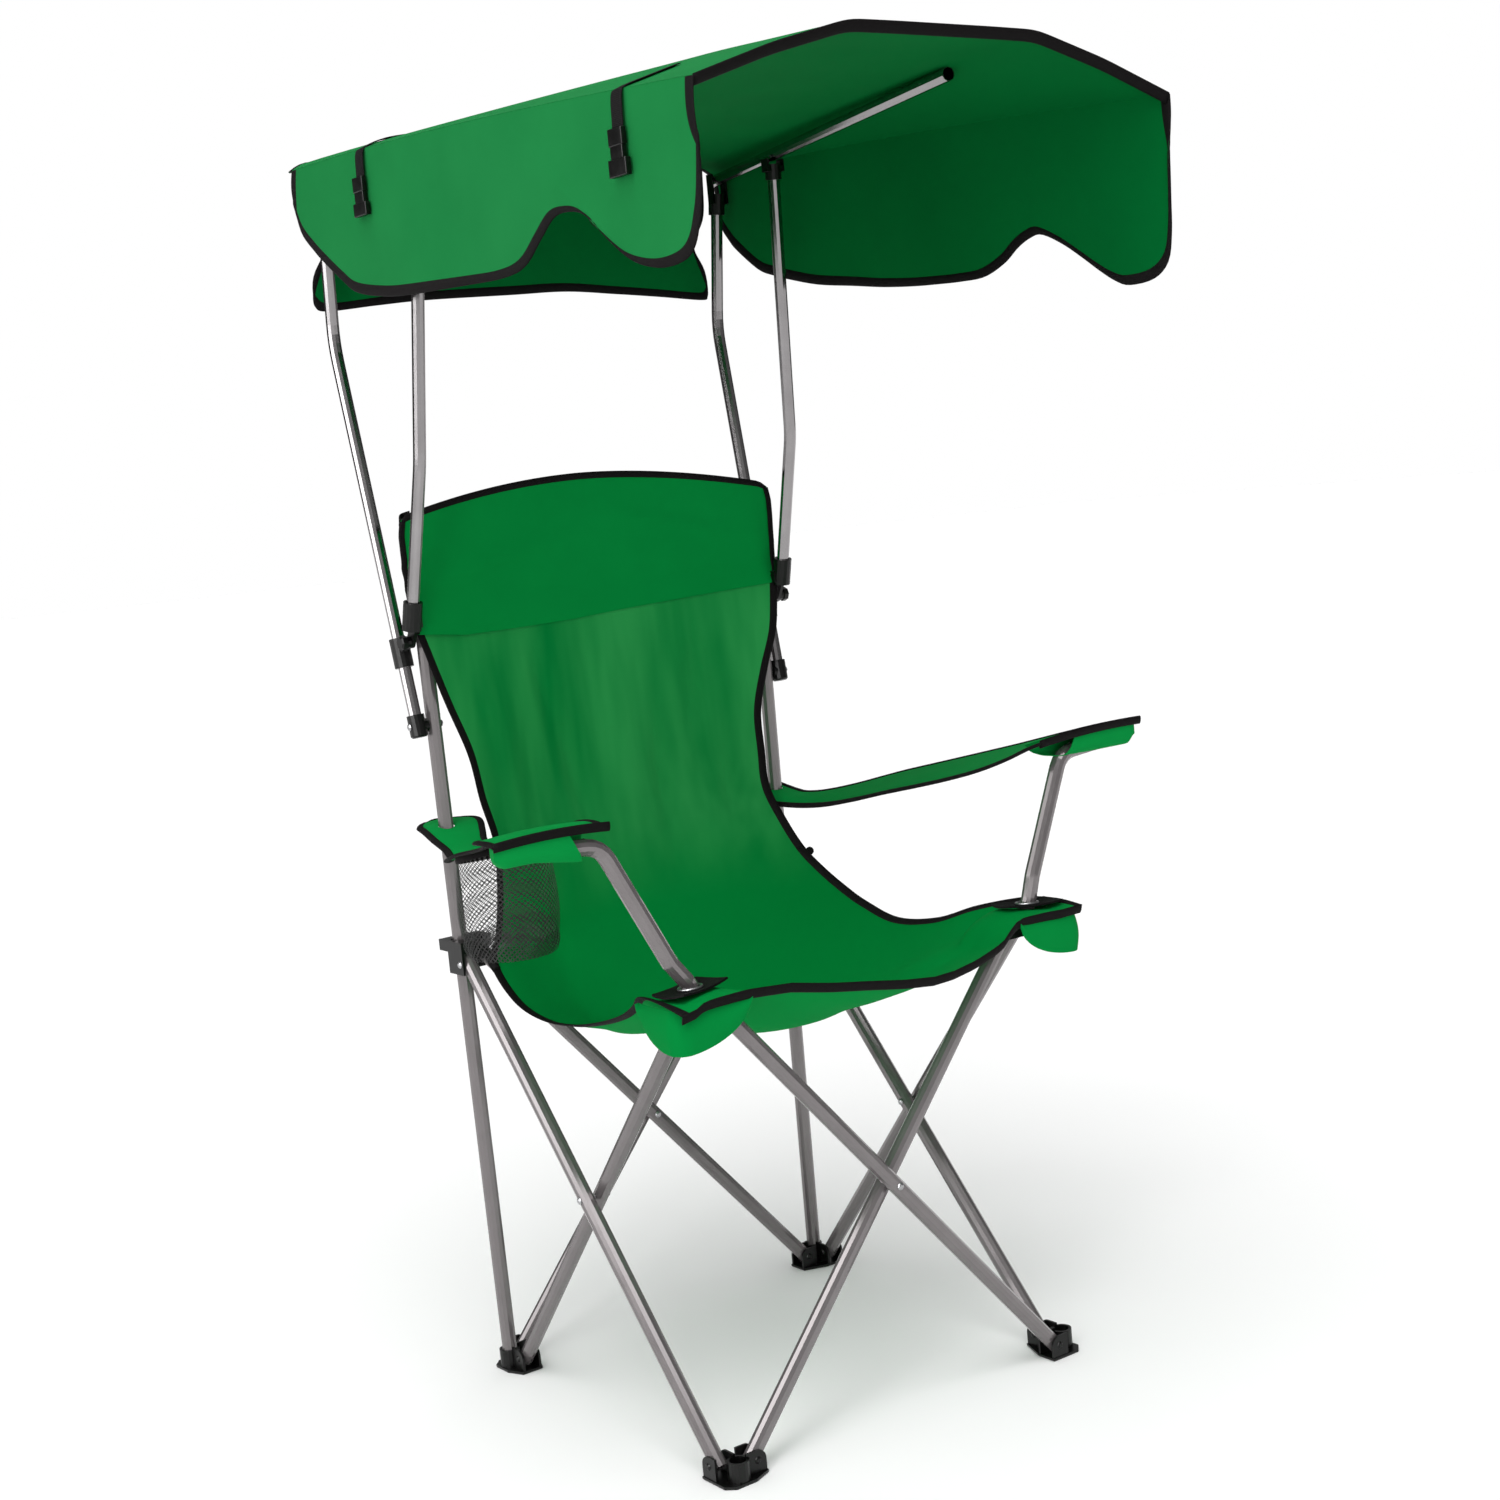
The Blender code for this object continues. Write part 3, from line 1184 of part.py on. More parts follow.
# Roof: flat between two ridges over the bars, and sloping to a fold line at each side.
def canopy_roof():
    rows = []
    for share in ROOF_ROW_SHARES:
        back = CANOPY_REAR - (CANOPY_REAR + CANOPY_FRONT) * share
        fold = fold_height(back)
        ridge = min(bar_out(back), CANOPY_HALF * RIDGE_LIMIT_SHARE)
        top = CANOPY_RIDGE_HEIGHT - RIDGE_FALL * share**RIDGE_FALL_POWER_SHARE
        half_row = [
            (CANOPY_HALF, fold),
            ((CANOPY_HALF + ridge) / 2, fold + (top - fold) * RIDGE_SWELL_SHARE / 2),
            (ridge, top),
            (ridge / 2, top + CLOTH / 2),
        ]
        row = [BASE + Vector((-out, back, height)) for out, height in half_row]
        row.append(BASE + Vector((0, back, top + CLOTH / 2)))
        row.extend(BASE + Vector((out, back, height)) for out, height in reversed(half_row))
        rows.append(row)
    return sheet("canopy_roof", rows, CLOTH, "green_cloth")


# Side flap: hangs from the fold line, with a wavy lower edge.
def side_flap(way, name):
    columns = []
    for place_share, drop_share in FLAP_EDGE_SHARES:
        back = CANOPY_REAR - (CANOPY_REAR + CANOPY_FRONT) * place_share
        top = fold_height(back) - CANOPY_FLAP_GAP - CLOTH / 2
        bottom = fold_height(CANOPY_REAR) - SIDE_FLAP_DROP * drop_share
        column = []
        for part in (0, 1 / 2, 1):
            swell = CLOTH * math.sin(math.pi * part)
            column.append(BASE + Vector((way * (CANOPY_HALF + swell), back, top + (bottom - top) * part)))
        columns.append(column)
    if way > 0:
        columns.reverse()
    return sheet("side_flap_" + name, columns, CLOTH, "green_cloth")


def rear_flap():
    rows = []
    for part in (0, 1 / 2, 1):
        row = []
        for across, drop_share in REAR_FLAP_SHARES:
            top = CANOPY_RIDGE_HEIGHT - CANOPY_FLAP_GAP - CLOTH / 2
            bottom = CANOPY_FOLD_HEIGHT - REAR_FLAP_DROP * drop_share
            place = (REAR_FLAP_HALF * across, CANOPY_REAR - CLOTH / 2, top + (bottom - top) * part)
            row.append(BASE + Vector(place))
        rows.append(row)
    return sheet("rear_flap", rows, CLOTH, "green_cloth")


def hinge_place(side, inner, end):
    return pin_places(side, inner)[end]


# The frame's bodies, from the rear left foot outwards.
def build_frame():
    holes = pin_hole_cutter()
    legs = {}
    for side in range(len(CORNERS)):
        for inner in (True, False):
            name = LEG_NAMES[(side, inner)]
            if name.startswith("arm_tube"):
                path = rounded_path(arm_line(side, inner, -1 if inner else 1), ARM_BEND)
            else:
                path = leg_line(side, inner)
            legs[name] = tube(name, path, FRAME_TUBE, FRAME_WALL, "grey_paint")
            drill(legs[name], holes)
    feet = [foot(corner) for corner in range(len(CORNERS))]
    hubs = [hub(corner, holes) for corner in range(len(CORNERS))]
    hub_pins = [hub_rivets(corner) for corner in range(len(CORNERS))]
    crosses = [
        rivet("middle_rivet_" + name, middle_pin(side), side_normal(side), PLANE_OFFSET + FRAME_RADIUS)
        for side, name in enumerate(SIDE_NAMES)
    ]
    root = body("root", at_corner(3, 0, 0, 0))
    put_on(root, feet[3], rear_post(-1, "left"), swing_bolt(-1, "left"))
    put_on(body("left_arm", hinge_place(3, True, 0)), legs["arm_tube_left"], crosses[3])
    put_on(body("hub_front_left", hinge_place(3, True, 1)), hubs[0], *hub_pins[0])
    put_on(body("left_leg", middle_pin(3)), legs["side_tube_left"])
    put_on(body("foot_front_left", hinge_place(3, False, 0)), feet[0])
    put_on(body("front_inner", hinge_place(0, True, 0)), legs["front_tube_inner"], crosses[0])
    put_on(body("front_outer", middle_pin(0)), legs["front_tube_outer"])
    put_on(body("foot_front_right", hinge_place(0, False, 0)), feet[1])
    put_on(body("back_outer", hinge_place(2, False, 0)), legs["back_tube_outer"], crosses[2])
    put_on(body("hub_rear_right", hinge_place(2, False, 1)), hubs[2], *hub_pins[2])
    put_on(body("back_inner", middle_pin(2)), legs["back_tube_inner"])
    put_on(body("hub_rear_left", hinge_place(2, True, 1)), hubs[3], *hub_pins[3])
    right = body("foot_rear_right", hinge_place(2, True, 0))
    put_on(right, feet[2], rear_post(1, "right"), swing_bolt(1, "right"))
    put_on(body("right_arm", hinge_place(1, False, 0)), legs["arm_tube_right"], crosses[1])
    put_on(body("hub_front_right", hinge_place(1, False, 1)), hubs[1], *hub_pins[1])
    put_on(body("right_leg", middle_pin(1)), legs["side_tube_right"])


def build_canopy_side(way, name):
    spots = strut_points(way)
    swing = body("rear_strut_" + name, spots["swing"])
    put_on(swing, rear_strut(way, name), end_cap(way, name), corner_joint(way, name))
    put_on(body("clamp_" + name, spots["pivot"]), clamp(way, name))
    front = body("front_strut_" + name, spots["pivot"])
    put_on(front, front_strut(way, name), strut_socket(way, name), strut_collar(way, name))
    put_on(body("knob_" + name, spots["pivot"]), knob(way, name))
    bar = body("roof_bar_" + name, spots["corner"])
    put_on(bar, roof_bar(way, name))
    return bar


def build_cloth(bar):
    put_on(bodies["root"], back_panel(), back_band(), arm_cover(-1, "left", True), cup_holder(-1))
    put_on(bodies["foot_rear_right"], arm_cover(1, "right", False))
    put_on(body("seat", BASE + Vector((0, SEAT_TURN_BACK, SEAT_TURN_HEIGHT))), seat())
    flaps = [side_flap(-1, "left"), side_flap(1, "right")]
    put_on(bar, canopy_roof(), rear_flap(), *flaps)


def build():
    clear_scene()
    build_frame()
    bar = build_canopy_side(-1, "left")
    build_canopy_side(1, "right")
    build_cloth(bar)


build()
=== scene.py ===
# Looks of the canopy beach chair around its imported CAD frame. Metres, +Z up, the chair faces -Y.
# Plan points are (x, y, z) with y from the middle of the feet, and shifted to the frame by place().

import json
import math

import bmesh
import bpy
import numpy as np
from mathutils import Matrix, Vector


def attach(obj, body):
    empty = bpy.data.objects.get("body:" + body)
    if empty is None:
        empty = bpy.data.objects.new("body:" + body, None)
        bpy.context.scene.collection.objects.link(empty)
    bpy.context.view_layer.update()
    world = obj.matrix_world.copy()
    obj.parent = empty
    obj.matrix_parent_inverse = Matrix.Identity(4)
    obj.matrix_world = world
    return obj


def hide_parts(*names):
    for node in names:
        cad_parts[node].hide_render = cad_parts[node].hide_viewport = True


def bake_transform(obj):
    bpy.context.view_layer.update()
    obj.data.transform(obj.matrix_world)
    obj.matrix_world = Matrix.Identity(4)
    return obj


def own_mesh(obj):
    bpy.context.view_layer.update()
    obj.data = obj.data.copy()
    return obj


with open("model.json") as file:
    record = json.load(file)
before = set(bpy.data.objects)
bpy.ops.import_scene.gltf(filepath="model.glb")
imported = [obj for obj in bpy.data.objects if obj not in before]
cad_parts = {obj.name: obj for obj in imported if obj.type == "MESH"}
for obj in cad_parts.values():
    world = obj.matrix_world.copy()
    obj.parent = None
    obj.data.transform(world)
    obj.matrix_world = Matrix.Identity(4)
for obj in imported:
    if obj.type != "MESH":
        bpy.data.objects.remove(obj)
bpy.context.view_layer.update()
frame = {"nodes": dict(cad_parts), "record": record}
nodes = frame["nodes"]
feetShift = 0.0775  # from the middle of the feet to the frame's origin
bothSides = ((-1, "Left"), (1, "Right"))


def place(points):
    moved = np.array(points, float).reshape(-1, 3)
    moved[:, 1] += feetShift
    return moved


# Camera
cameraValues = {"lens": 53.88, "place": (-1.568, -2.1355, 1.08), "right": (0.799, -0.594, -0.094),
                "down": (-0.144, -0.036, -0.989)}


def makeCamera(values):
    right = Vector(values["right"]).normalized()
    down = Vector(values["down"])
    down = (down - right * down.dot(right)).normalized()
    forward = right.cross(down)
    turn = Matrix((right, -down, -forward)).transposed().to_4x4()
    data = bpy.data.cameras.new("camera")
    data.lens = values["lens"]
    data.sensor_width = 36
    camera = bpy.data.objects.new("camera", data)
    camera.matrix_world = Matrix.Translation(values["place"]) @ turn
    bpy.context.scene.collection.objects.link(camera)
    bpy.context.scene.camera = camera


makeCamera(cameraValues)
bpy.context.scene.view_settings.view_transform = "Standard"
print("camera placed")


# Colours and node helpers
def linear(code):
    parts = [int(code[i:i + 2], 16) / 255 for i in (0, 2, 4)]
    return tuple(c / 12.92 if c <= 0.04045 else ((c + 0.055) / 1.055) ** 2.4 for c in parts) + (1,)


def newMaterial(name, roughness, metallic=0.0):
    made = bpy.data.materials.new(name)
    made.use_nodes = True
    shader = made.node_tree.nodes["Principled BSDF"]
    shader.inputs["Roughness"].default_value = roughness
    shader.inputs["Metallic"].default_value = metallic
    return made, shader


def addNode(material, kind, inputs=None, **settings):
    node = material.node_tree.nodes.new("ShaderNode" + kind)
    for key, value in settings.items():
        setattr(node, key, value)
    for key, value in (inputs or {}).items():
        if isinstance(value, bpy.types.NodeSocket):
            material.node_tree.links.new(value, node.inputs[key])
        else:
            node.inputs[key].default_value = value
    return node


def mapRange(material, value, low, high):
    return addNode(material, "MapRange", {"Value": value, "To Min": low, "To Max": high}).outputs[0]


def mixColours(material, factor, first, second, mode="MIX"):
    node = addNode(material, "Mix", data_type="RGBA", blend_type=mode)
    for slot, value in ((0, factor), (6, first), (7, second)):
        if isinstance(value, bpy.types.NodeSocket):
            material.node_tree.links.new(value, node.inputs[slot])
        else:
            node.inputs[slot].default_value = value
    return node.outputs[2]


def connect(material, output, shader, name):
    material.node_tree.links.new(output, shader.inputs[name])


def addBump(material, shader, height, strength, distance):
    bump = addNode(material, "Bump", {"Height": height, "Strength": strength, "Distance": distance})
    connect(material, bump.outputs[0], shader, "Normal")


def calculate(material, kind, *values):
    return addNode(material, "Math", dict(enumerate(values)), operation=kind).outputs[0]


def noise(material, vector, scale, detail=2.0, **more):
    return addNode(material, "TexNoise", dict(more, Vector=vector, Scale=scale, Detail=detail)).outputs["Fac"]


def ribs(material, vector, width, axis, distortion):
    inputs = {"Vector": vector, "Scale": 1 / width / math.pi, "Distortion": distortion, "Detail": 1.0}
    return addNode(material, "TexWave", inputs, bands_direction=axis).outputs["Fac"]


# Woven polyester with a plain weave that follows the cloth's own UV map, in metres
clothValues = {"thread": 0.0009, "roughness": 0.8, "spread": (9.0, 9.0, 9.0), "cloud": (-0.12, 1.12),
               "weaveStrength": 0.22, "weaveDepth": 0.0002, "weaveShade": 0.16, "specular": 0.03,
               "lowFade": (0.56, 0.66)}
slingSheenStyle = dict(clothValues, spread=(13.0, 13.0, 1.9), cloud=(0.33, 0.62))  # tone in upright streaks; the back's lighter streaks are a painted sheen


def fadeBetween(material, value, ends):
    inputs = {"Value": value, "From Min": ends[0], "From Max": ends[1]}
    return addNode(material, "MapRange", inputs).outputs[0]


def clothMaterial(name, dark, light, values=clothValues, low=None):
    made, shader = newMaterial(name, values["roughness"])
    spots = addNode(made, "TexCoord").outputs
    waves = (ribs(made, spots["UV"], values["thread"], axis, 0.4) for axis in "XY")
    weave = calculate(made, "MULTIPLY", *waves)
    streaks = addNode(made, "Mapping", {"Vector": spots["Object"], "Scale": values["spread"]}).outputs[0]
    cloud = noise(made, streaks, 1.0, 3.0, Roughness=0.55)
    tone = mixColours(made, fadeBetween(made, cloud, values["cloud"]), linear(dark), linear(light))
    if low:
        # The lower tone fades into the upper one between two heights: the seat keeps an even tone, and the
        # back's lighter streaks above are a painted sheen
        height = addNode(made, "SeparateXYZ", {"Vector": spots["Object"]}).outputs[2]
        tone = mixColours(made, fadeBetween(made, height, values["lowFade"]), linear(low), tone)
    shade = mixColours(made, mapRange(made, weave, 0.0, values["weaveShade"]), tone, linear("000000"))
    connect(made, shade, shader, "Base Color")
    shader.inputs["Specular IOR Level"].default_value = values["specular"]
    addBump(made, shader, weave, values["weaveStrength"], values["weaveDepth"])
    return made


# Polyester tape with fine ribs across it
def tapeMaterial(name, dark, light, rib):
    made, shader = newMaterial(name, 0.75)
    wave = ribs(made, addNode(made, "TexCoord").outputs["UV"], rib, "X", 0.3)
    connect(made, mixColours(made, wave, linear(dark), linear(light)), shader, "Base Color")
    shader.inputs["Specular IOR Level"].default_value = 0.12
    addBump(made, shader, wave, 0.5, 0.0003)
    return made


# A hard surface whose tone and roughness vary in a fine cloud
def cloudedMaterial(name, dark, light, roughness, metallic, cloud, sway):
    made, shader = newMaterial(name, roughness, metallic)
    spots = addNode(made, "TexCoord").outputs["Object"]
    share = noise(made, spots, *cloud)
    connect(made, mixColours(made, share, linear(dark), linear(light)), shader, "Base Color")
    connect(made, mapRange(made, share, roughness * sway[0], roughness * sway[1]), shader, "Roughness")
    return made, shader, spots, share


# Powder-coated or polished steel tube with a faint orange peel
def metalMaterial(name, dark, light, roughness, metallic, peel):
    made, shader, spots, _ = cloudedMaterial(name, dark, light, roughness, metallic, (35.0, 4.0), (0.8, 1.25))
    addBump(made, shader, noise(made, spots, 900.0), peel, 0.0002)
    return made


# Moulded nylon with a slight grain
def plasticMaterial(name, dark, light, roughness):
    made, shader, _, grain = cloudedMaterial(name, dark, light, roughness, 0.0, (120.0, 3.0), (0.75, 1.3))
    shader.inputs["Specular IOR Level"].default_value = 0.3
    addBump(made, shader, grain, 0.12, 0.0004)
    return made


# Knotted net: diagonal threads are kept and the meshes between them are clear
def netMaterial(name, dark, light, mesh, thread):
    made, shader = newMaterial(name, 0.7)
    spots = addNode(made, "TexCoord").outputs
    split = addNode(made, "SeparateXYZ", {"Vector": spots["UV"]}).outputs
    lines = []
    for sign in ("ADD", "SUBTRACT"):
        turn = calculate(made, "MULTIPLY", calculate(made, sign, split[0], split[1]), math.pi / mesh)
        size = calculate(made, "ABSOLUTE", calculate(made, "SINE", turn))
        lines.append(calculate(made, "LESS_THAN", size, math.sin(math.pi * thread / mesh / 2)))
    connect(made, calculate(made, "MAXIMUM", *lines), shader, "Alpha")
    grain = noise(made, spots["Object"], 400.0)
    connect(made, mixColours(made, grain, linear(dark), linear(light)), shader, "Base Color")
    return made


greenCloth = clothMaterial("greenPolyester", "008238", "0c9444")  # arms
slingCloth = clothMaterial("slingPolyester", "007c37", "2b984d", slingSheenStyle, "008a3c")  # seat and back; the back's lighter upright streaks are a painted sheen
bandPolyester = clothMaterial("bandPolyester", "007e36", "048c3e")  # pocket band and corner flaps
roofCloth = clothMaterial("roofPolyester", "16743a", "228646")  # canopy, outside
shadedRoofInside = clothMaterial("shadedRoofPolyester", "00602a", "006c30")  # canopy inside, darker: painted shade under the canopy
blackTape = tapeMaterial("blackBinding", "050304", "100d0e", 0.0012)  # edge binding
blackWeb = tapeMaterial("blackWebbing", "060606", "171516", 0.0018)  # straps
blackNet = netMaterial("blackNet", "0c0c0c", "1c1b1b", 0.006, 0.0012)  # cup net
greyPaint = metalMaterial("greyPowderCoat", "757071", "827d7e", 0.15, 0.5, 0.03)  # frame tubes
brightSteel = metalMaterial("polishedSteel", "8b8889", "a09d9e", 0.17, 1.0, 0.03)  # canopy tubes
zincSteel = metalMaterial("zincPlate", "9a9a9c", "b4b4b6", 0.3, 0.9, 0.05)  # rivets and bolts
blackNylon = plasticMaterial("blackNylon", "040404", "0d0d0c", 0.32)  # feet, hubs, joints
print("materials made")

nodeFinishes = {"grey_paint": greyPaint, "bright_steel": brightSteel, "black_moulding": blackNylon,
                "zinc": zincSteel, "green_cloth": greenCloth, "black_net": blackNet}
for part in frame["record"]["subparts"]:
    shown = nodes[part["node"]]
    for slotHolder in shown.material_slots:
        slotHolder.material = nodeFinishes[part["material_slot"]]
print("frame finished")


# Curves and surfaces
def smoothCurve(points, count):
    knots = np.array(points, float)
    steps = np.linspace(0, len(knots) - 1, count)
    first = np.clip(steps.astype(int), 0, len(knots) - 2)
    part = (steps - first)[:, None]
    before = knots[np.maximum(first - 1, 0)]
    here = knots[first]
    there = knots[first + 1]
    after = knots[np.minimum(first + 2, len(knots) - 1)]
    # Each span is a cubic through its two points, with slopes taken from their neighbours
    return (here + part * (there - before) / 2
            + part ** 2 * (before - 2.5 * here + 2 * there - after / 2)
            + part ** 3 * (1.5 * (here - there) + (after - before) / 2))


def gridNormals(grid):
    across = np.gradient(grid, axis=1)
    along = np.gradient(grid, axis=0)
    normal = np.cross(across, along)
    return normal / np.maximum(np.linalg.norm(normal, axis=2, keepdims=True), 1e-9)


# UVs in metres along and across the sheet, so that a weave keeps its real size
def gridUvs(grid):
    stepAcross = np.linalg.norm(np.diff(grid, axis=1), axis=2).mean(0)
    stepAlong = np.linalg.norm(np.diff(grid, axis=0), axis=2).mean(1)
    u = np.concatenate([[0], np.cumsum(stepAcross)])
    v = np.concatenate([[0], np.cumsum(stepAlong)])
    return np.stack(np.broadcast_arrays(u[None, :], v[:, None]), axis=2)


def linkPiece(name, mesh):
    made = bpy.data.objects.new(name, mesh)
    bpy.context.scene.collection.objects.link(made)
    return made


def pieceFrom(bm, name, material=None):
    mesh = bpy.data.meshes.new(name)
    bm.to_mesh(mesh)
    bm.free()
    if material:
        mesh.shade_smooth()
        mesh.materials.append(material)
    return linkPiece(name, mesh)


def makeMesh(name, points, faces, uvs, material):
    mesh = bpy.data.meshes.new(name)
    mesh.from_pydata(points.tolist(), [], faces.tolist())
    layer = mesh.uv_layers.new(name="cloth")
    corner = np.empty(len(mesh.loops), np.int32)
    mesh.loops.foreach_get("vertex_index", corner)
    layer.data.foreach_set("uv", uvs[corner].ravel())
    mesh.shade_smooth()
    mesh.materials.append(material)
    return linkPiece(name, mesh)


def gridFaces(rows, columns, closed=False):
    index = np.arange(rows * columns).reshape(rows, columns)
    if closed:
        index = np.concatenate([index, index[:, :1]], axis=1)
    return np.stack([index[:-1, :-1], index[:-1, 1:], index[1:, 1:], index[1:, :-1]], axis=2).reshape(-1, 4)


def applyModifiers(made):
    graph = bpy.context.evaluated_depsgraph_get()
    fresh = bpy.data.meshes.new_from_object(made.evaluated_get(graph))
    made.modifiers.clear()
    made.data = fresh


def gridMesh(name, grid, material):
    return makeMesh(name, grid.reshape(-1, 3), gridFaces(*grid.shape[:2]), gridUvs(grid).reshape(-1, 2),
                    material)


# A sheet of cloth from a grid of points, with its thickness to both sides and crisp rims
sheetValues = {"thickness": 0.0012, "crispAngle": 50}


def makeSheet(name, grid, material, thickness=sheetValues["thickness"], inner=None):
    made = gridMesh(name, grid, material)
    solid = made.modifiers.new("thickness", "SOLIDIFY")
    solid.thickness = thickness
    solid.offset = 0
    applyModifiers(made)
    made.data.set_sharp_from_angle(angle=math.radians(sheetValues["crispAngle"]))
    # The inner cloth is a darker copy of the canopy green: painted shade
    if inner:
        paintShadedInside(made.data, inner)
    return made


# Faces of the canopy that look towards its middle take the darker inner cloth, a painted shade
canopyMiddle = (0.0, 0.0, 1.4)


def paintShadedInside(mesh, inner):
    mesh.materials.append(inner)
    normal = np.empty(len(mesh.polygons) * 3)
    centre = np.empty(len(mesh.polygons) * 3)
    mesh.polygons.foreach_get("normal", normal)
    mesh.polygons.foreach_get("center", centre)
    look = ((np.array(canopyMiddle) - centre.reshape(-1, 3)) * normal.reshape(-1, 3)).sum(axis=1)
    mesh.polygons.foreach_set("material_index", (look > 0).astype(np.int32))


# Binding folded over an edge: an oval section carried along the edge, set in over the cloth
tapeValues = {"width": 0.012, "thick": 0.003, "setOut": 0.0018, "sides": 10}


def makeBinding(name, edge, inward, normal, material, width=tapeValues["width"], thick=tapeValues["thick"],
                sides=tapeValues["sides"]):
    size = np.linalg.norm(inward, axis=1, keepdims=True)
    inward = inward / np.maximum(size, 1e-9)
    normal = normal / np.maximum(np.linalg.norm(normal, axis=1, keepdims=True), 1e-9)
    turn = np.linspace(0, 2 * math.pi, sides, endpoint=False)
    middle = edge + inward * (width / 2 - tapeValues["setOut"])
    # Each ring point is the middle plus cosine along the cloth and sine across it
    rings = (middle[:, None] + inward[:, None] * (np.cos(turn) * width / 2)[None, :, None]
             + normal[:, None] * (np.sin(turn) * thick / 2)[None, :, None])
    length = np.concatenate([[0], np.cumsum(np.linalg.norm(np.diff(edge, axis=0), axis=1))])
    uvs = np.stack(np.broadcast_arrays(length[:, None], (turn * width / 6)[None, :]), axis=2).reshape(-1, 2)
    faces = gridFaces(len(edge), sides, closed=True)
    made = makeMesh(name, rings.reshape(-1, 3), faces, uvs, material)
    capEnds(made, len(edge), sides)
    return made


def capEnds(made, rings, sides):
    bm = bmesh.new()
    bm.from_mesh(made.data)
    bm.verts.ensure_lookup_table()
    if (bm.verts[0].co - bm.verts[(rings - 1) * sides].co).length > 1e-5:
        bm.faces.new([bm.verts[i] for i in range(sides)])
        bm.faces.new([bm.verts[(rings - 1) * sides + i] for i in range(sides)])
    else:
        bmesh.ops.remove_doubles(bm, verts=bm.verts, dist=1e-6)
    bmesh.ops.recalc_face_normals(bm, faces=bm.faces)
    bm.to_mesh(made.data)
    bm.free()
    made.data.shade_smooth()


# Binding along rows or columns of a grid: side is "first row", "last row", "first column" or "last column"
def bindEdge(name, grid, side, material, span=None, **shape):
    normal = gridNormals(grid)
    pick = {"first row": (grid[0], grid[1] - grid[0], normal[0]),
            "last row": (grid[-1], grid[-2] - grid[-1], normal[-1]),
            "first column": (grid[:, 0], grid[:, 1] - grid[:, 0], normal[:, 0]),
            "last column": (grid[:, -1], grid[:, -2] - grid[:, -1], normal[:, -1])}[side]
    if span:
        pick = tuple(part[span[0]:span[1]] for part in pick)
    return makeBinding(name, *pick, material, **shape)


def bindSides(stem, ends, grid, **shape):
    return [bindEdge(stem + end, grid, side, blackTape, **shape)
            for end, side in zip(ends, ("first column", "last column"))]


def tubeAlong(name, path, radius, material, sides=12):
    path = np.array(path, float)
    tangent = np.gradient(path, axis=0)
    tangent /= np.linalg.norm(tangent, axis=1, keepdims=True)
    side = np.cross(tangent, (0.0, 0.13, 1.0))
    side /= np.maximum(np.linalg.norm(side, axis=1, keepdims=True), 1e-9)
    section = {"width": radius * 2, "thick": radius * 2, "sides": sides}
    return makeBinding(name, path, side, np.cross(tangent, side), material, **section)


# Boxes with rounded edges, as one piece
def boxPieces(name, corners, material, bevel=0.0012):
    bm = bmesh.new()
    for low, high in corners:
        low, high = Vector(low), Vector(high)
        shape = Matrix.Translation((low + high) / 2) @ Matrix.Diagonal((*(high - low), 1))
        cube = bmesh.ops.create_cube(bm, size=1, matrix=shape)
        edges = list(dict.fromkeys(edge for corner in cube["verts"] for edge in corner.link_edges))
        bmesh.ops.bevel(bm, geom=edges, offset=bevel, segments=2, profile=0.7, affect="EDGES")
    return pieceFrom(bm, name, material)


def blendGrid(left, middle, right, columns):
    side = np.linspace(-1, 1, columns)[None, :, None]
    left, middle, right = left[:, None], middle[:, None], right[:, None]
    # A parabola across each row through its left, middle and right points
    return middle + side * (right - left) / 2 + side ** 2 * ((right + left) / 2 - middle)


# Soft wrinkles: a sum of sine ridges that cross the sheet at their own slants and fade at its edges
def wrinkle(grid, ridges, edgeFade=0.12):
    rows, columns = grid.shape[:2]
    v, u = np.meshgrid(np.linspace(0, 1, rows), np.linspace(0, 1, columns), indexing="ij")
    fade = np.clip(np.minimum(np.minimum(u, 1 - u), np.minimum(v, 1 - v)) / edgeFade, 0, 1)
    lift = np.zeros_like(u)
    for uMid, vMid, slant, width, length, height in ridges:
        along = (u - uMid) * math.cos(slant) + (v - vMid) * math.sin(slant)
        across = (v - vMid) * math.cos(slant) - (u - uMid) * math.sin(slant)
        lift += height * np.exp(-(across / width) ** 2 - (along / length) ** 2)
    return grid + gridNormals(grid) * (lift * fade ** 0.7)[:, :, None]


def sheetArea(grid):
    a = grid[1:, :-1] - grid[:-1, :-1]
    b = grid[:-1, 1:] - grid[:-1, :-1]
    return float(np.linalg.norm(np.cross(a, b), axis=2).sum())


# The cloth rides a body of the frame, with a mesh of its own
def gather(piece, body):
    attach(piece, body)
    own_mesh(piece)


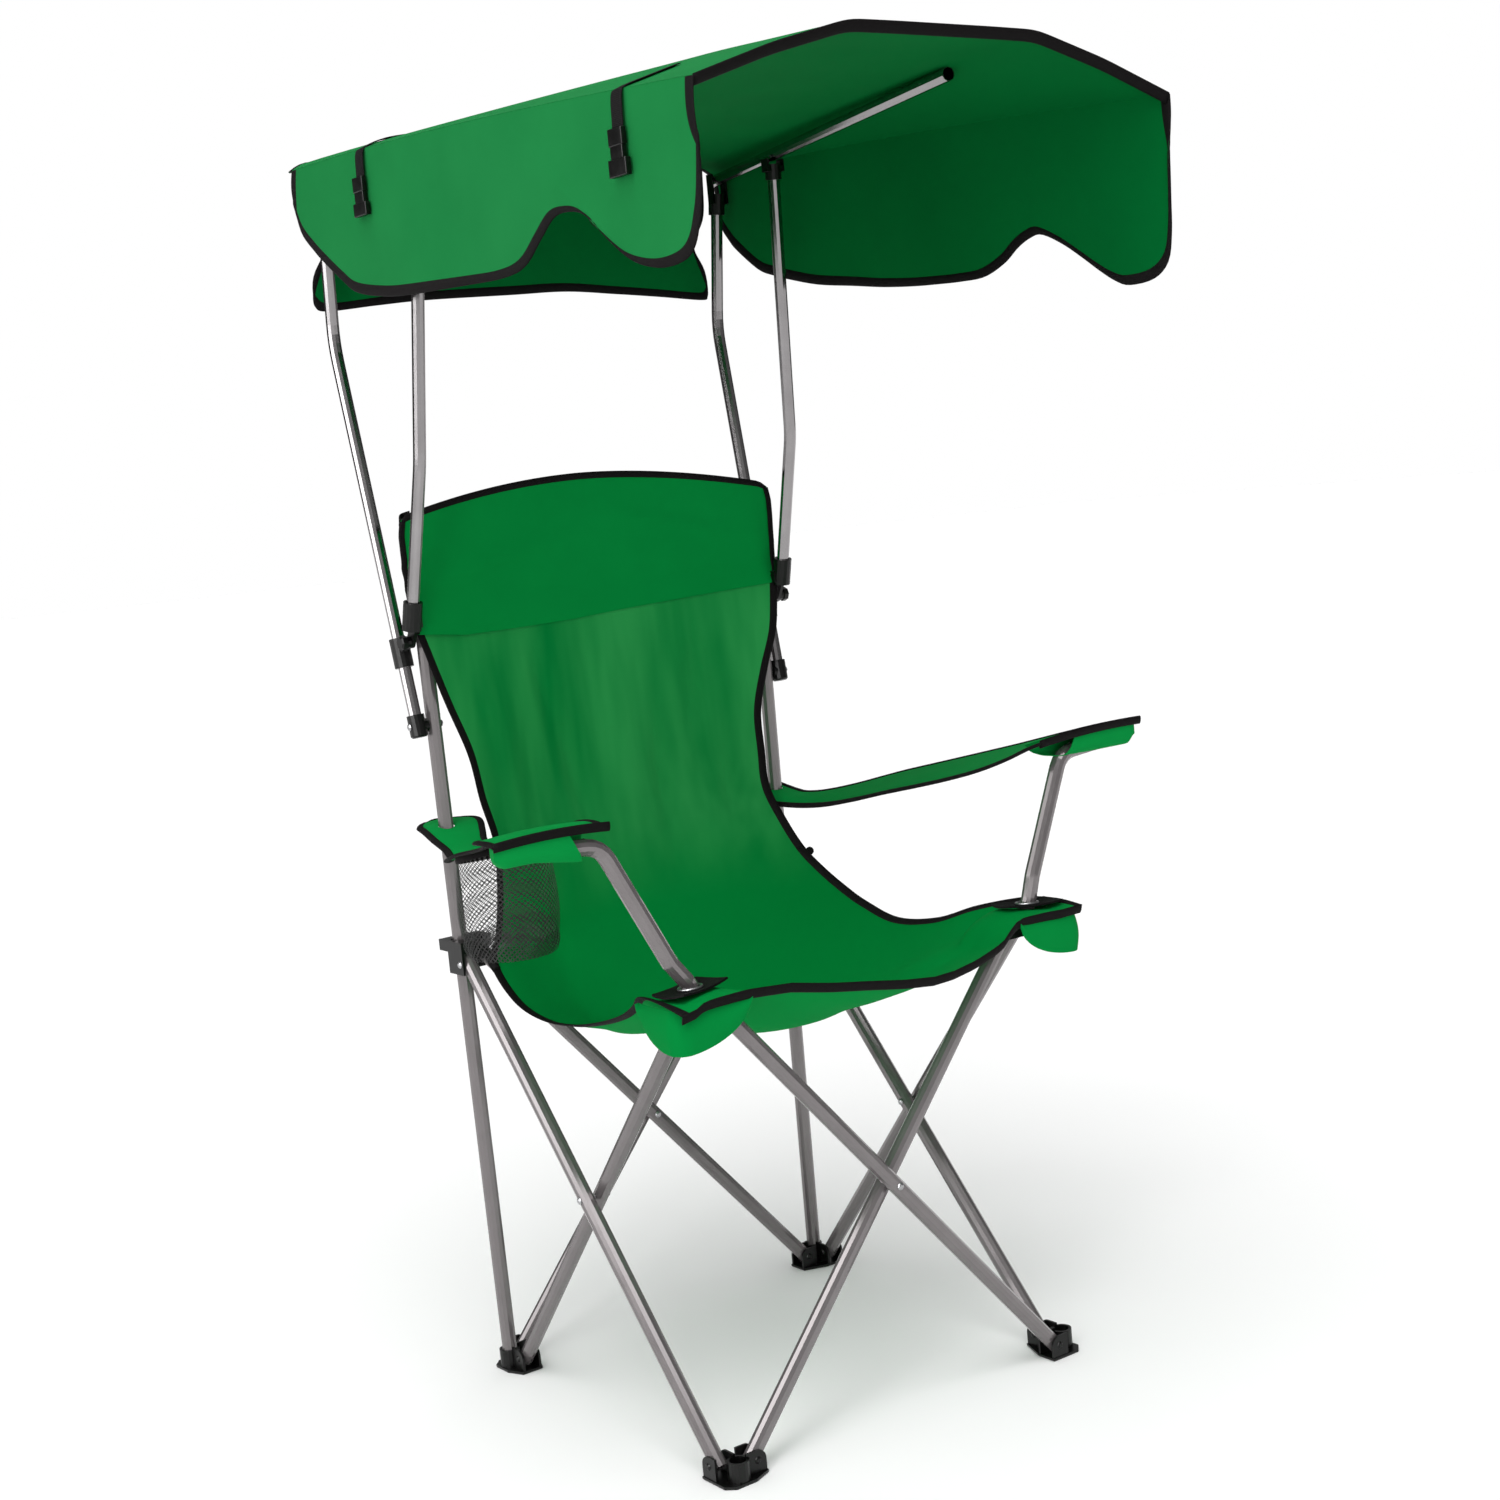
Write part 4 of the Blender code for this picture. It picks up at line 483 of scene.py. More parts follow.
# Sling: seat and lower back are one hanging sheet, given by its left edge, middle line and right edge
slingValues = {
    "left": [(-0.288, -0.288, 0.541), (-0.29, -0.246, 0.55), (-0.284, -0.2, 0.549), (-0.264, -0.155, 0.529),
             (-0.25, -0.107, 0.509), (-0.237, -0.04, 0.489), (-0.233, 0.03, 0.475), (-0.233, 0.1, 0.472),
             (-0.235, 0.16, 0.488), (-0.236, 0.205, 0.53), (-0.221, 0.2105, 0.566), (-0.206, 0.222, 0.62),
             (-0.201, 0.2275, 0.675), (-0.2135, 0.228, 0.73), (-0.2245, 0.2265, 0.79), (-0.249, 0.2265, 0.86),
             (-0.2775, 0.229, 0.955)],
    "middle": [(0, -0.277, 0.517), (0, -0.24, 0.495), (0, -0.2, 0.475), (0, -0.155, 0.457), (0, -0.107, 0.446),
               (0, -0.04, 0.443), (0, 0.03, 0.449), (0, 0.1, 0.468), (0, 0.16, 0.502), (0, 0.205, 0.552),
               (0, 0.228, 0.6), (0, 0.243, 0.66), (0, 0.252, 0.72), (0, 0.257, 0.78), (0, 0.26, 0.84),
               (0, 0.262, 0.89), (0, 0.264, 0.952)],
    "right": [(0.303, -0.284, 0.545), (0.302, -0.243, 0.551), (0.29, -0.2, 0.552), (0.25, -0.158, 0.546),
              (0.227, -0.107, 0.53), (0.218, -0.04, 0.525), (0.216, 0.02, 0.541), (0.215, 0.06, 0.558),
              (0.213, 0.1, 0.58), (0.21, 0.135, 0.606), (0.208, 0.168, 0.644), (0.209, 0.198, 0.685),
              (0.2215, 0.218, 0.73), (0.228, 0.2265, 0.785), (0.2455, 0.2265, 0.84), (0.267, 0.2265, 0.895),
              (0.2775, 0.229, 0.965)],
    "frontEdge": [(-0.29, 0.54), (-0.272, 0.5425), (-0.255, 0.546), (-0.235, 0.5492), (-0.21, 0.55),
                  (-0.183, 0.549), (-0.137, 0.545), (-0.079, 0.532), (-0.031, 0.523), (0.028, 0.511),
                  (0.07, 0.505), (0.1, 0.506), (0.134, 0.512), (0.168, 0.523), (0.2, 0.539), (0.213, 0.546),
                  (0.235, 0.549), (0.26, 0.548), (0.301, 0.549)],
    "ridges": [(0.12, 0.06, 0.9, 0.05, 0.25, 0.005), (0.88, 0.07, 2.2, 0.05, 0.25, 0.005),
               (0.3, 0.5, 0.2, 0.04, 0.22, 0.003), (0.7, 0.46, -0.3, 0.04, 0.25, 0.003),
               (0.15, 0.42, 1.2, 0.03, 0.3, -0.004), (0.6, 0.2, 0.5, 0.03, 0.2, 0.003),
               (0.78, 0.88, 1.62, 0.02, 0.1, -0.006), (0.46, 0.95, 1.5, 0.012, 0.04, -0.004),
               (0.31, 0.92, 1.75, 0.022, 0.05, -0.005), (0.66, 0.74, 1.5, 0.022, 0.09, -0.006),
               (0.36, 0.78, 1.95, 0.03, 0.08, -0.006), (0.88, 0.7, 1.4, 0.022, 0.07, -0.005),
               (0.55, 0.8, 1.57, 0.07, 0.22, 0.005), (0.14, 0.84, 1.45, 0.04, 0.15, 0.004)],
    "spans": 7, "columns": 61, "seatRows": 64, "frontReach": 0.13,
    "hubAt": 0.228, "hubHalf": 0.04, "hubTop": 0.549,
}


def slingGrid(values):
    rows = (len(values["left"]) - 1) * values["spans"] + 1
    lines = [smoothCurve(place(values[side]), rows) for side in ("left", "middle", "right")]
    return wrinkle(followFront(blendGrid(*lines, values["columns"])), values["ridges"])


# The rows near the front edge follow its measured height, and stay clear of the front hubs
def followFront(grid):
    values = slingValues
    edge = np.array(values["frontEdge"])
    height = np.interp(grid[0, :, 0], edge[:, 0], edge[:, 1])
    away = (grid[..., 1] - grid[0, 0, 1]) / values["frontReach"]
    grid[..., 2] += (height - grid[0, :, 2])[None] * np.clip(1 - away, 0, 1) ** 1.4
    aside = np.abs(np.abs(grid[..., 0]) - values["hubAt"]) / values["hubHalf"]
    onHub = np.clip(1 - aside, 0, 1) ** 0.5 * np.clip(1 - away * 1.3, 0, 1) ** 0.3
    grid[..., 2] += np.maximum(values["hubTop"] - grid[..., 2], 0) * np.clip(onHub * 1.3, 0, 1)
    return grid


slingPoints = slingGrid(slingValues)
seatGrid = slingPoints[:slingValues["seatRows"]]
backGrid = slingPoints[slingValues["seatRows"] - 1:]
seatCloth = makeSheet("seatCloth", seatGrid, slingCloth)
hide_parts("seat")
gather(seatCloth, "seat")
hem = np.tile([0.0, 0.35, -0.94], (seatGrid.shape[1], 1))
across = np.tile([0.0, 0.94, 0.35], (seatGrid.shape[1], 1))
seatBinding = [makeBinding("seatBindingFront", seatGrid[0], hem, across, blackTape, width=0.0125, thick=0.0034)]
seatBinding += bindSides("seatBinding", ("Left", "Right"), seatGrid)
for piece in seatBinding:
    gather(piece, "seat")
backCloth = makeSheet("backCloth", backGrid, slingCloth)
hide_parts("back_panel")
gather(backCloth, "root")
backBinding = bindSides("backBinding", ("Left", "Right"), backGrid)
print("sling made")

# Pocket band: its ends wrap the posts, and its front runs on past them to a stitched outer edge
bandValues = {"lean": 0.0118, "half": 0.2475, "postBack": 0.246, "wrap": 0.0112, "turn": (-35, 60),
              "postBottom": 0.99, "belly": 0.033, "bellyHalf": 0.2586, "seamDepth": 0.2275, "postDepth": 0.0068,
              "depthRise": 0.04, "low": 0.945, "high": 0.135, "crown": 1.122, "fall": 0.3715, "turnDown": 22.0,
              "turnAt": 0.264,
              "seam": [(-0.28, 0.945), (-0.2, 0.936), (-0.113, 0.936), (-0.03, 0.9375), (0.041, 0.942),
                       (0.157, 0.948), (0.28, 0.9545)],
              "edge": [(0.938, 0.2795), (0.96, 0.2798), (0.994, 0.2805), (1.021, 0.2815), (1.0435, 0.2824),
                       (1.066, 0.2824), (1.08, 0.279)],
              "ridges": [(0.3, 0.5, 0.5, 0.05, 0.2, 0.003), (0.68, 0.6, 2.4, 0.05, 0.2, 0.003),
                         (0.12, 0.6, 1.0, 0.03, 0.3, 0.0015)]}


# The band's lower seam slants a little across the back
def seamHeight(x):
    seam = np.array(bandValues["seam"])
    return np.interp(x, seam[:, 0], seam[:, 1])


# The band's top is a flat arc that turns down at its ends
def bandTop(x):
    arc = bandValues["crown"] - bandValues["fall"] * np.abs(x) ** 1.86
    return arc - bandValues["turnDown"] * np.maximum(np.abs(x) - bandValues["turnAt"], 0) ** 2


def bandGrid(rows, wraps, columns):
    values = bandValues
    edge = np.array(values["edge"])
    share = np.linspace(0, 1, wraps)
    turn = np.radians(np.linspace(*values["turn"], wraps))
    grid = []
    for v in np.linspace(0, 1, rows):
        row = []
        for way in (-1, 1):
            # Behind the post: a part of a circle whose lower end runs down to the seam at the outer edge
            low = values["postBottom"] - (values["postBottom"] - seamHeight(way * 0.28)) * share ** 3
            x = values["half"] + values["lean"] * 1.04 + values["wrap"] * np.sin(turn)
            height = low + (bandTop(x) - low) * v
            y = values["postBack"] + values["wrap"] * np.cos(turn)
            row.append(np.stack([way * x, y, height], axis=1))
        u = np.linspace(-1, 1, columns)
        outer = np.interp(values["low"] + values["high"] * v, edge[:, 0], edge[:, 1])
        x = u * outer
        height = seamHeight(x) + (bandTop(x) - seamHeight(x)) * v
        ahead = values["postDepth"] * np.clip((height - values["low"]) / values["depthRise"], 0, 1)
        belly = values["belly"] * np.maximum(0, 1 - (x / values["bellyHalf"]) ** 2) * (1 - 0.25 * v)
        depth = values["seamDepth"] + ahead + belly
        middle = np.stack([x, depth, height], axis=1)
        grid.append(np.concatenate([row[0], middle, row[1][::-1]]))
    return np.array(grid)


bandWraps = 10
bandPoints = bandGrid(26, bandWraps, 71)
bandPoints[..., 1] += feetShift
bandPoints = wrinkle(bandPoints, bandValues["ridges"])
bandCloth = makeSheet("backBandCloth", bandPoints, bandPolyester)
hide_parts("back_band")
gather(bandCloth, "root")
bandBinding = [bindEdge("backBandBindingTop", bandPoints, "last row", blackTape, width=0.0095)]


# Binding down the band's outer edge, in front of the post, into the back's own binding
def bandSide(way, name):
    column = bandWraps if way < 0 else -1 - bandWraps
    path = bandPoints[:, column] + np.array([0, -0.0014, 0])
    inward = np.tile([-way * 1.0, 0.0, 0.0], (len(path), 1))
    normal = np.tile([0.0, -1.0, 0.0], (len(path), 1))
    return makeBinding("backBandSide" + name, path, inward, normal, blackTape, width=0.0085, thick=0.0032)


bandBinding += [bandSide(way, name) for way, name in bothSides]
for piece in backBinding + bandBinding:
    gather(piece, "root")
print("back made")


# Corner flaps, wrapped round the seat's front corners, and black eyelet patches round the arm tubes
flapValues = {"side": {-1: 0.287, 1: 0.3035}, "front": -0.2755, "round": 0.014, "top": 0.5435, "drop": 0.05,
              "sideReach": 0.082, "frontReach": 0.094, "swell": 0.004, "flare": 0.002, "drawIn": 0.012,
              "sideDrop": 0.003}


def cornerFlap(way, name):
    values = flapValues
    along = np.concatenate([-np.linspace(1, 0.05, 22) ** 0.7 * values["sideReach"],
                            np.linspace(0, 1, 24) * values["frontReach"]])
    rows = []
    for v in np.linspace(0, 1, 12):
        row = []
        for step in along:
            reach = values["sideReach"] if step < 0 else values["frontReach"]
            depth = values["drop"] * math.sqrt(max(0.0, 1 - (step / reach) ** 2)) * v
            swell = values["swell"] * math.sin(math.pi * v) + values["flare"] * v
            x, y, outX, outY = cornerPlace(step, values, values["side"][way])
            # The side half draws in under the seat's edge
            x -= values["drawIn"] * max(0.0, -step / reach - 0.25) ** 1.5
            depth += values["sideDrop"] * max(0.0, -step / reach)
            row.append((way * (x + outX * swell), y + outY * swell + feetShift, values["top"] - depth))
        rows.append(row)
    grid = np.array(rows)
    if way > 0:
        grid = grid[:, ::-1]
    made = makeSheet("cornerFlap" + name, grid, bandPolyester)
    gather(made, "seat")
    return made, sheetArea(grid)


# A place on the rounded corner: steps below zero run back along the side, and others along the front
def cornerPlace(step, values, side):
    bend = values["round"]
    half = bend * math.pi / 4
    if step < -half:
        return side, values["front"] + bend - (step + half), 1.0, 0.0
    if step > half:
        return side - bend - (step - half), values["front"], 0.0, -1.0
    turn = (step + half) / bend
    return (side - bend + bend * math.cos(turn), values["front"] + bend - bend * math.sin(turn),
            math.cos(turn), -math.sin(turn))


eyeletValues = {"half": (0.041, 0.026), "turn": 14, "tilt": 3, "ring": 0.0132, "ringTube": 0.0016,
                "dish": 0.0022, "sink": 0.001, "thickness": 0.0024, "height": 0.5535,
                "tube": {-1: (-0.241, -0.2366), 1: (0.2586, -0.237)}}


def eyelet(way, name):
    values = eyeletValues
    tube = place([(*values["tube"][way], values["height"])])
    turns = ((way * values["tilt"], "Y"), (-values["tilt"], "X"), (-way * values["turn"], "Z"))
    slope = Matrix.Identity(3)
    for angle, axis in turns:
        slope = slope @ Matrix.Rotation(math.radians(angle), 3, axis)
    slope = np.array(slope).T
    u, v = np.meshgrid(np.linspace(-1, 1, 15), np.linspace(-1, 1, 15), indexing="ij")
    # A square with rounded corners, drawn by squeezing the disc's diagonals
    x = u * values["half"][0] * np.sqrt(1 - v ** 2 / 5)
    y = v * values["half"][1] * np.sqrt(1 - u ** 2 / 5)
    flat = np.stack([x, y, values["dish"] * (u ** 2 + v ** 2) - values["sink"]], axis=2)
    patch = makeSheet("eyeletPatch" + name, flat @ slope + tube, blackWeb, values["thickness"])
    turn = np.linspace(0, 2 * math.pi, 41)
    ring = values["ring"] * np.stack([np.cos(turn), np.sin(turn), np.zeros(41)], axis=1)
    ring[:, 2] += values["dish"]
    ringPiece = tubeAlong("eyeletRing" + name, ring @ slope + tube, values["ringTube"], zincSteel)
    for piece, slot in ((patch, "black_net"), (ringPiece, "zinc")):
        gather(piece, "seat")
    return [patch, ringPiece]


seatTrim = []
for way, name in bothSides:
    flap, area = cornerFlap(way, name)
    seatTrim += eyelet(way, name)


# Webbing that ties the rear corners of the sling to the rear hubs
def hubTie(name, start, end):
    middle = (np.array(start) + np.array(end)) / 2 - (0, 0, 0.004)
    path = smoothCurve(place([start, middle, end]), 12)
    made = tubeAlong(name, path, 0.0055, blackWeb)
    gather(made, "root")
    return made


ties = [hubTie("hubTieLeft", (-0.236, 0.2, 0.522), (-0.2395, 0.232, 0.5655)),
        hubTie("hubTieRight", (0.213, 0.13, 0.6), (0.236, 0.23, 0.566))]
print("seat trimmed")


# Arm covers: a tab round the post, a narrow neck and a pad over the arm tube's end
armValues = {
    "back": [0.292, 0.284, 0.268, 0.246, 0.222, 0.2, 0.165, 0.12, 0.06, 0.0, -0.06, -0.11, -0.155, -0.195,
             -0.228, -0.2495],
    -1: {
        "inner": [0.24, 0.22, 0.203, 0.205, 0.216, 0.226, 0.228, 0.224, 0.222, 0.226, 0.252, 0.284, 0.31, 0.326,
                  0.333, 0.336],
        "outer": [0.256, 0.272, 0.284, 0.289, 0.289, 0.287, 0.3, 0.33, 0.35, 0.358, 0.378, 0.405, 0.438, 0.462,
                  0.471, 0.47],
        "innerHeight": [0.704, 0.705, 0.705, 0.703, 0.694, 0.684, 0.678, 0.685, 0.698, 0.709, 0.721, 0.732,
                        0.742, 0.749, 0.7515, 0.749],
        "outerHeight": [0.703, 0.704, 0.703, 0.7, 0.69, 0.68, 0.674, 0.682, 0.696, 0.707, 0.719, 0.7305, 0.741,
                        0.7475, 0.7505, 0.7485],
        "lip": [(0.34, 0.7165), (0.367, 0.716), (0.419, 0.724), (0.454, 0.724), (0.47, 0.735)],
        "lipStart": (0.381, 0.368, 0.363, 0.358, 0.352, 0.345), "lipEnd": 0.468},
    1: {
        "inner": [0.247, 0.232, 0.216, 0.211, 0.216, 0.226, 0.236, 0.24, 0.241, 0.243, 0.25, 0.258, 0.268,
                  0.278, 0.284, 0.289],
        "outer": [0.262, 0.27, 0.276, 0.278, 0.278, 0.279, 0.286, 0.303, 0.33, 0.345, 0.362, 0.385, 0.412,
                  0.438, 0.453, 0.456],
        "innerHeight": [0.6755, 0.675, 0.672, 0.665, 0.659, 0.655, 0.6535, 0.657, 0.667, 0.679, 0.69, 0.7,
                        0.711, 0.7245, 0.738, 0.7455],
        "outerHeight": [0.6795, 0.679, 0.677, 0.672, 0.668, 0.666, 0.669, 0.6775, 0.692, 0.704, 0.716, 0.7265,
                        0.737, 0.746, 0.7515, 0.7525],
        "lip": [(0.289, 0.731), (0.335, 0.724), (0.382, 0.724), (0.445, 0.724), (0.457, 0.738)],
        "lipStart": (0.352, 0.339, 0.33, 0.315, 0.3, 0.292), "lipEnd": 0.455},
}


def armGrid(way, rows, columns):
    values = armValues[way]
    keys = ("inner", "outer", "innerHeight", "outerHeight")
    table = smoothCurve(np.stack([armValues["back"]] + [values[key] for key in keys], axis=1), rows)
    across = np.linspace(0, 1, columns)[None, :]
    x = table[:, 1:2] + (table[:, 2:3] - table[:, 1:2]) * across
    z = table[:, 3:4] + (table[:, 4:5] - table[:, 3:4]) * across
    # The pad bulges a little along its middle
    z = z + 0.003 * (1 - (2 * across - 1) ** 2)
    y = np.repeat(table[:, :1], columns, axis=1) + feetShift
    grid = np.stack([way * x, y, z], axis=2)
    return grid if way > 0 else grid[:, ::-1]


# The pocket round the arm tube's end: a front wall, a rounded floor and a back wall that starts further in
pocketValues = {"columns": 40, "topGap": 0.003, "shutReach": 0.013, "shutAt": -0.245,
                "section": [(-0.2468, 1.0), (-0.2472, 0.3), (-0.24, 0.0), (-0.228, 0.0), (-0.2205, 0.3),
                            (-0.2195, 1.0)]}


def lipGrid(way, rows, pad):
    values = armValues[way]
    pocket = pocketValues
    low = np.array(values["lip"])
    front = pad[-1]
    starts = np.interp(np.linspace(0, 5, rows), np.arange(6), values["lipStart"])
    order = np.argsort(np.abs(front[:, 0]))
    grid = []
    for start, (y, rise) in zip(starts, smoothCurve(pocket["section"], rows)):
        x = np.linspace(start, values["lipEnd"], pocket["columns"])
        bottom = np.interp(x, low[:, 0], low[:, 1])
        top = np.interp(x, np.abs(front[order, 0]), front[order, 2]) - pocket["topGap"]
        # The walls meet at the pocket's outer end
        shut = np.clip((x - values["lipEnd"]) / pocket["shutReach"] + 1, 0, 1) ** 2
        deep = y + (pocket["shutAt"] - y) * shut + feetShift
        grid.append(np.stack([way * x, deep, bottom + (top - bottom) * np.clip(rise, 0, 1)], axis=1))
    grid = np.array(grid)
    return grid if way < 0 else grid[:, ::-1]


# The front binding stands upright along the pad's front edge and ends in a small black tip
armTape = {"width": 0.0105, "thick": 0.0046}
frontTape = {"width": 0.0108, "thick": 0.0044, "tip": 0.005, "offset": (0, -0.0012, 0.003),
             "hang": (0.0, 0.22, -0.975), "face": (0.0, -0.975, -0.22)}


def frontBinding(name, pad):
    edge = pad[-1]
    step = (edge[-1] - edge[-2]) / np.linalg.norm(edge[-1] - edge[-2])
    values = frontTape
    path = np.concatenate([edge, [edge[-1] + step * values["tip"]]]) + np.array(values["offset"])
    hang, face = (np.tile(values[key], (len(path), 1)) for key in ("hang", "face"))
    return makeBinding(name, path, hang, face, blackTape, width=values["width"], thick=values["thick"])


def armCover(way, name):
    grid = armGrid(way, 120, 25)
    pad = makeSheet("armCloth" + name, grid, greenCloth, 0.0016)
    lipPiece = makeSheet("armPocket" + name, lipGrid(way, 25, grid), greenCloth, 0.001)
    sides = bindSides("armBinding", ("Inner" + name, "Outer" + name), grid, **armTape)
    front = frontBinding("armBindingFront" + name, grid)
    rear = bindEdge("armBindingRear" + name, grid, "first row", blackTape, **armTape)
    pieces = [lipPiece, *sides, front, rear]
    body, arm = ("root", "left_arm") if way < 0 else ("foot_rear_right", "right_arm")
    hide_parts("arm_cover_" + name.lower())
    cutHoles(pad, way)
    for piece in [pad] + pieces:
        if piece in (lipPiece, front):
            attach(piece, arm)
        else:
            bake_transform(piece)


# Holes for the post and, on the left, the cup are cut with a cylinder
holeValues = {"postX": 0.25557, "postY": 0.246, "postRadius": 0.0103, "cupRadius": 0.05, "height": 0.69,
              "depth": 0.2, "sides": 48}


def cutHoles(pad, way):
    values = holeValues
    holes = [(way * values["postX"], values["postY"] + feetShift, values["postRadius"])]
    if way < 0:
        holes.append((cupValues["x"], cupValues["y"] + feetShift, values["cupRadius"]))
    for index, (x, y, radius) in enumerate(holes):
        bm = bmesh.new()
        bmesh.ops.create_cone(bm, cap_ends=True, segments=values["sides"], radius1=radius, radius2=radius,
                              depth=values["depth"], matrix=Matrix.Translation((x, y, values["height"])))
        cutter = pieceFrom(bm, "holeCutter")
        step = pad.modifiers.new("hole%d" % index, "BOOLEAN")
        step.operation = "DIFFERENCE"
        step.solver = "EXACT"
        step.object = cutter
        bpy.context.view_layer.update()
        applyModifiers(pad)
        bpy.data.objects.remove(cutter)


# Net cup: a soft bucket with a slanted rim under the left arm's hole
cupValues = {"x": -0.284, "y": 0.062, "radius": 0.0545, "rim": 0.695, "bottom": 0.568, "slope": -0.217,
             "slackHeight": 0.03, "slackFold": 0.0022, "baseDrop": 0.004}
for way, name in bothSides:
    armCover(way, name)
print("arms made")


def cupTurns(rows, columns):
    return np.linspace(0, 1, rows)[:, None], np.linspace(0, 2 * math.pi, columns)[None, :]


def cupRound(radius, turn):
    return cupValues["x"] + radius * np.cos(turn), cupValues["y"] + radius * np.sin(turn)


def cupGrid(rows, columns):
    values = cupValues
    v, turn = cupTurns(rows, columns)
    # The radius swells below the middle and draws in at the bottom, with a few soft dents
    profile = values["radius"] * (1 + 0.1 * np.sin(math.pi * v ** 1.3) - 0.1 * v ** 6)
    dents = 0.02 * np.sin(3 * turn + 1.0) * np.sin(math.pi * v) + 0.012 * np.sin(11 * turn) * v ** 3
    x, y = cupRound(profile * (1 + dents), turn)
    top = values["rim"] + values["slope"] * (y - values["y"])
    return np.stack([x, y + feetShift, top + (values["bottom"] - top) * v], axis=2)


# The net's slack lower end lies in folds round the bottom
def slackGrid(rows, columns):
    values = cupValues
    v, turn = cupTurns(rows, columns)
    swell = np.sin(math.pi * v)
    folds = values["slackFold"] * np.sin(9 * turn + 5 * v) * swell
    x, y = cupRound(values["radius"] * (0.97 + 0.05 * swell) + folds, turn)
    z = values["bottom"] + 0.002 + values["slackHeight"] * (1 - v) * (1 + 0.25 * np.sin(2 * turn + 0.7))
    return np.stack([x, y + feetShift, z], axis=2)


# The net runs on from the wall over a slightly hollow base
def withBase(wall):
    reach = np.linspace(1, 0.02, 12)[:, None, None]
    centre = wall[-1].mean(0)
    base = centre + (wall[-1][None] - centre) * reach
    base[..., 2] -= cupValues["baseDrop"] * (1 - reach[..., 0] ** 2)
    return np.concatenate([wall, base[1:]])


cupPoints = cupGrid(40, 73)
cupNet = gridMesh("cupNet", withBase(cupPoints), blackNet)
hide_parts("cup_holder")
cupSlack = gridMesh("cupSlack", slackGrid(14, 91), blackNet)
cupRim = makeBinding("cupRim", cupPoints[0], cupPoints[1] - cupPoints[0],
                     cupPoints[0] - cupPoints[0].mean(0), blackTape, width=0.01, thick=0.003)
for piece in (cupNet, cupSlack, cupRim):
    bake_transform(piece)
print("cup made")

# Canopy cloth: roof with two soft ridges over the bars, falling to a fold line at each side
roofValues = {"front": -0.502, "rear": 0.347, "half": 0.317, "fold": 1.516, "foldFall": 0.054, "ridge": 1.527,
              "ridgeFall": 0.007, "barOut": 0.297, "barBack": 0.306, "barTurn": 0.2128, "smoothing": 4,
              "lift": 0.0004,
              "ridges": [(0.5, 0.3, 1.5, 0.06, 0.4, 0.0022), (0.25, 0.7, 1.2, 0.05, 0.4, 0.0015),
                         (0.75, 0.6, 1.9, 0.05, 0.4, 0.0015), (0.5, 0.85, 0.1, 0.05, 0.3, -0.0015)]}


def foldHeight(y):
    share = (roofValues["rear"] - y) / (roofValues["rear"] - roofValues["front"])
    return roofValues["fold"] - roofValues["foldFall"] * share ** 1.5


# Where the bar's ridge runs, how high it is there, and how high the fold is
def roofSection(y):
    values = roofValues
    share = (values["rear"] - y) / (values["rear"] - values["front"])
    ridge = min(values["barOut"] - (values["barBack"] - y) * values["barTurn"], values["half"] * 0.96)
    return ridge, values["ridge"] - values["ridgeFall"] * share ** 4, foldHeight(y)


def roofGrid(rows, columns):
    values = roofValues
    grid = []
    for y in np.linspace(values["rear"], values["front"], rows):
        ridge, top, fold = roofSection(y)
        x = np.linspace(-values["half"], values["half"], columns)
        knotX = [0, ridge / 2, ridge, (ridge + values["half"]) / 2, values["half"]]
        knotZ = [top + 0.0005, top + 0.0005, top, fold + (top - fold) * 0.56, fold]
        z = np.interp(np.abs(x), knotX, knotZ)
        grid.append(np.stack([x, np.full(columns, y + feetShift), z], axis=1))
    return np.array(grid)


roofPoints = roofGrid(70, 91)
for step in range(roofValues["smoothing"]):
    roofPoints[:, 1:-1, 2] = (roofPoints[:, :-2, 2] + 2 * roofPoints[:, 1:-1, 2] + roofPoints[:, 2:, 2]) / 4
roofPoints[:, :, 2] += roofValues["lift"]
roofPoints = wrinkle(roofPoints, roofValues["ridges"])
roofCanopy = makeSheet("canopyRoofCloth", roofPoints, roofCloth, inner=shadedRoofInside)
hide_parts("canopy_roof")

flapEdges = {
    "Left": [(0.335, 1.47), (0.325, 1.44), (0.3, 1.415), (0.279, 1.398), (0.245, 1.374), (0.211, 1.356),
             (0.14, 1.343), (0.068, 1.336), (-0.05, 1.331), (-0.127, 1.329), (-0.174, 1.335), (-0.214, 1.356),
             (-0.247, 1.373), (-0.278, 1.374), (-0.305, 1.366), (-0.333, 1.342), (-0.367, 1.316),
             (-0.397, 1.304), (-0.4274, 1.2996), (-0.4587, 1.303), (-0.4756, 1.3135), (-0.486, 1.3316),
             (-0.4927, 1.35), (-0.4973, 1.377), (-0.499, 1.405)],
    "Right": [(0.343, 1.47), (0.335, 1.445), (0.318, 1.425), (0.301, 1.41), (0.251, 1.377), (0.215, 1.364),
              (0.177, 1.353), (0.1277, 1.3408), (0.064, 1.331), (0.0046, 1.3218), (-0.06, 1.3145),
              (-0.111, 1.3106), (-0.15, 1.3085), (-0.189, 1.309), (-0.2227, 1.3207), (-0.2456, 1.3354),
              (-0.2656, 1.3435), (-0.2856, 1.3449), (-0.32, 1.329), (-0.354, 1.308), (-0.38, 1.291),
              (-0.404, 1.277), (-0.427, 1.269), (-0.464, 1.271), (-0.486, 1.286), (-0.4935, 1.315),
              (-0.496, 1.354), (-0.4976, 1.403)],
}


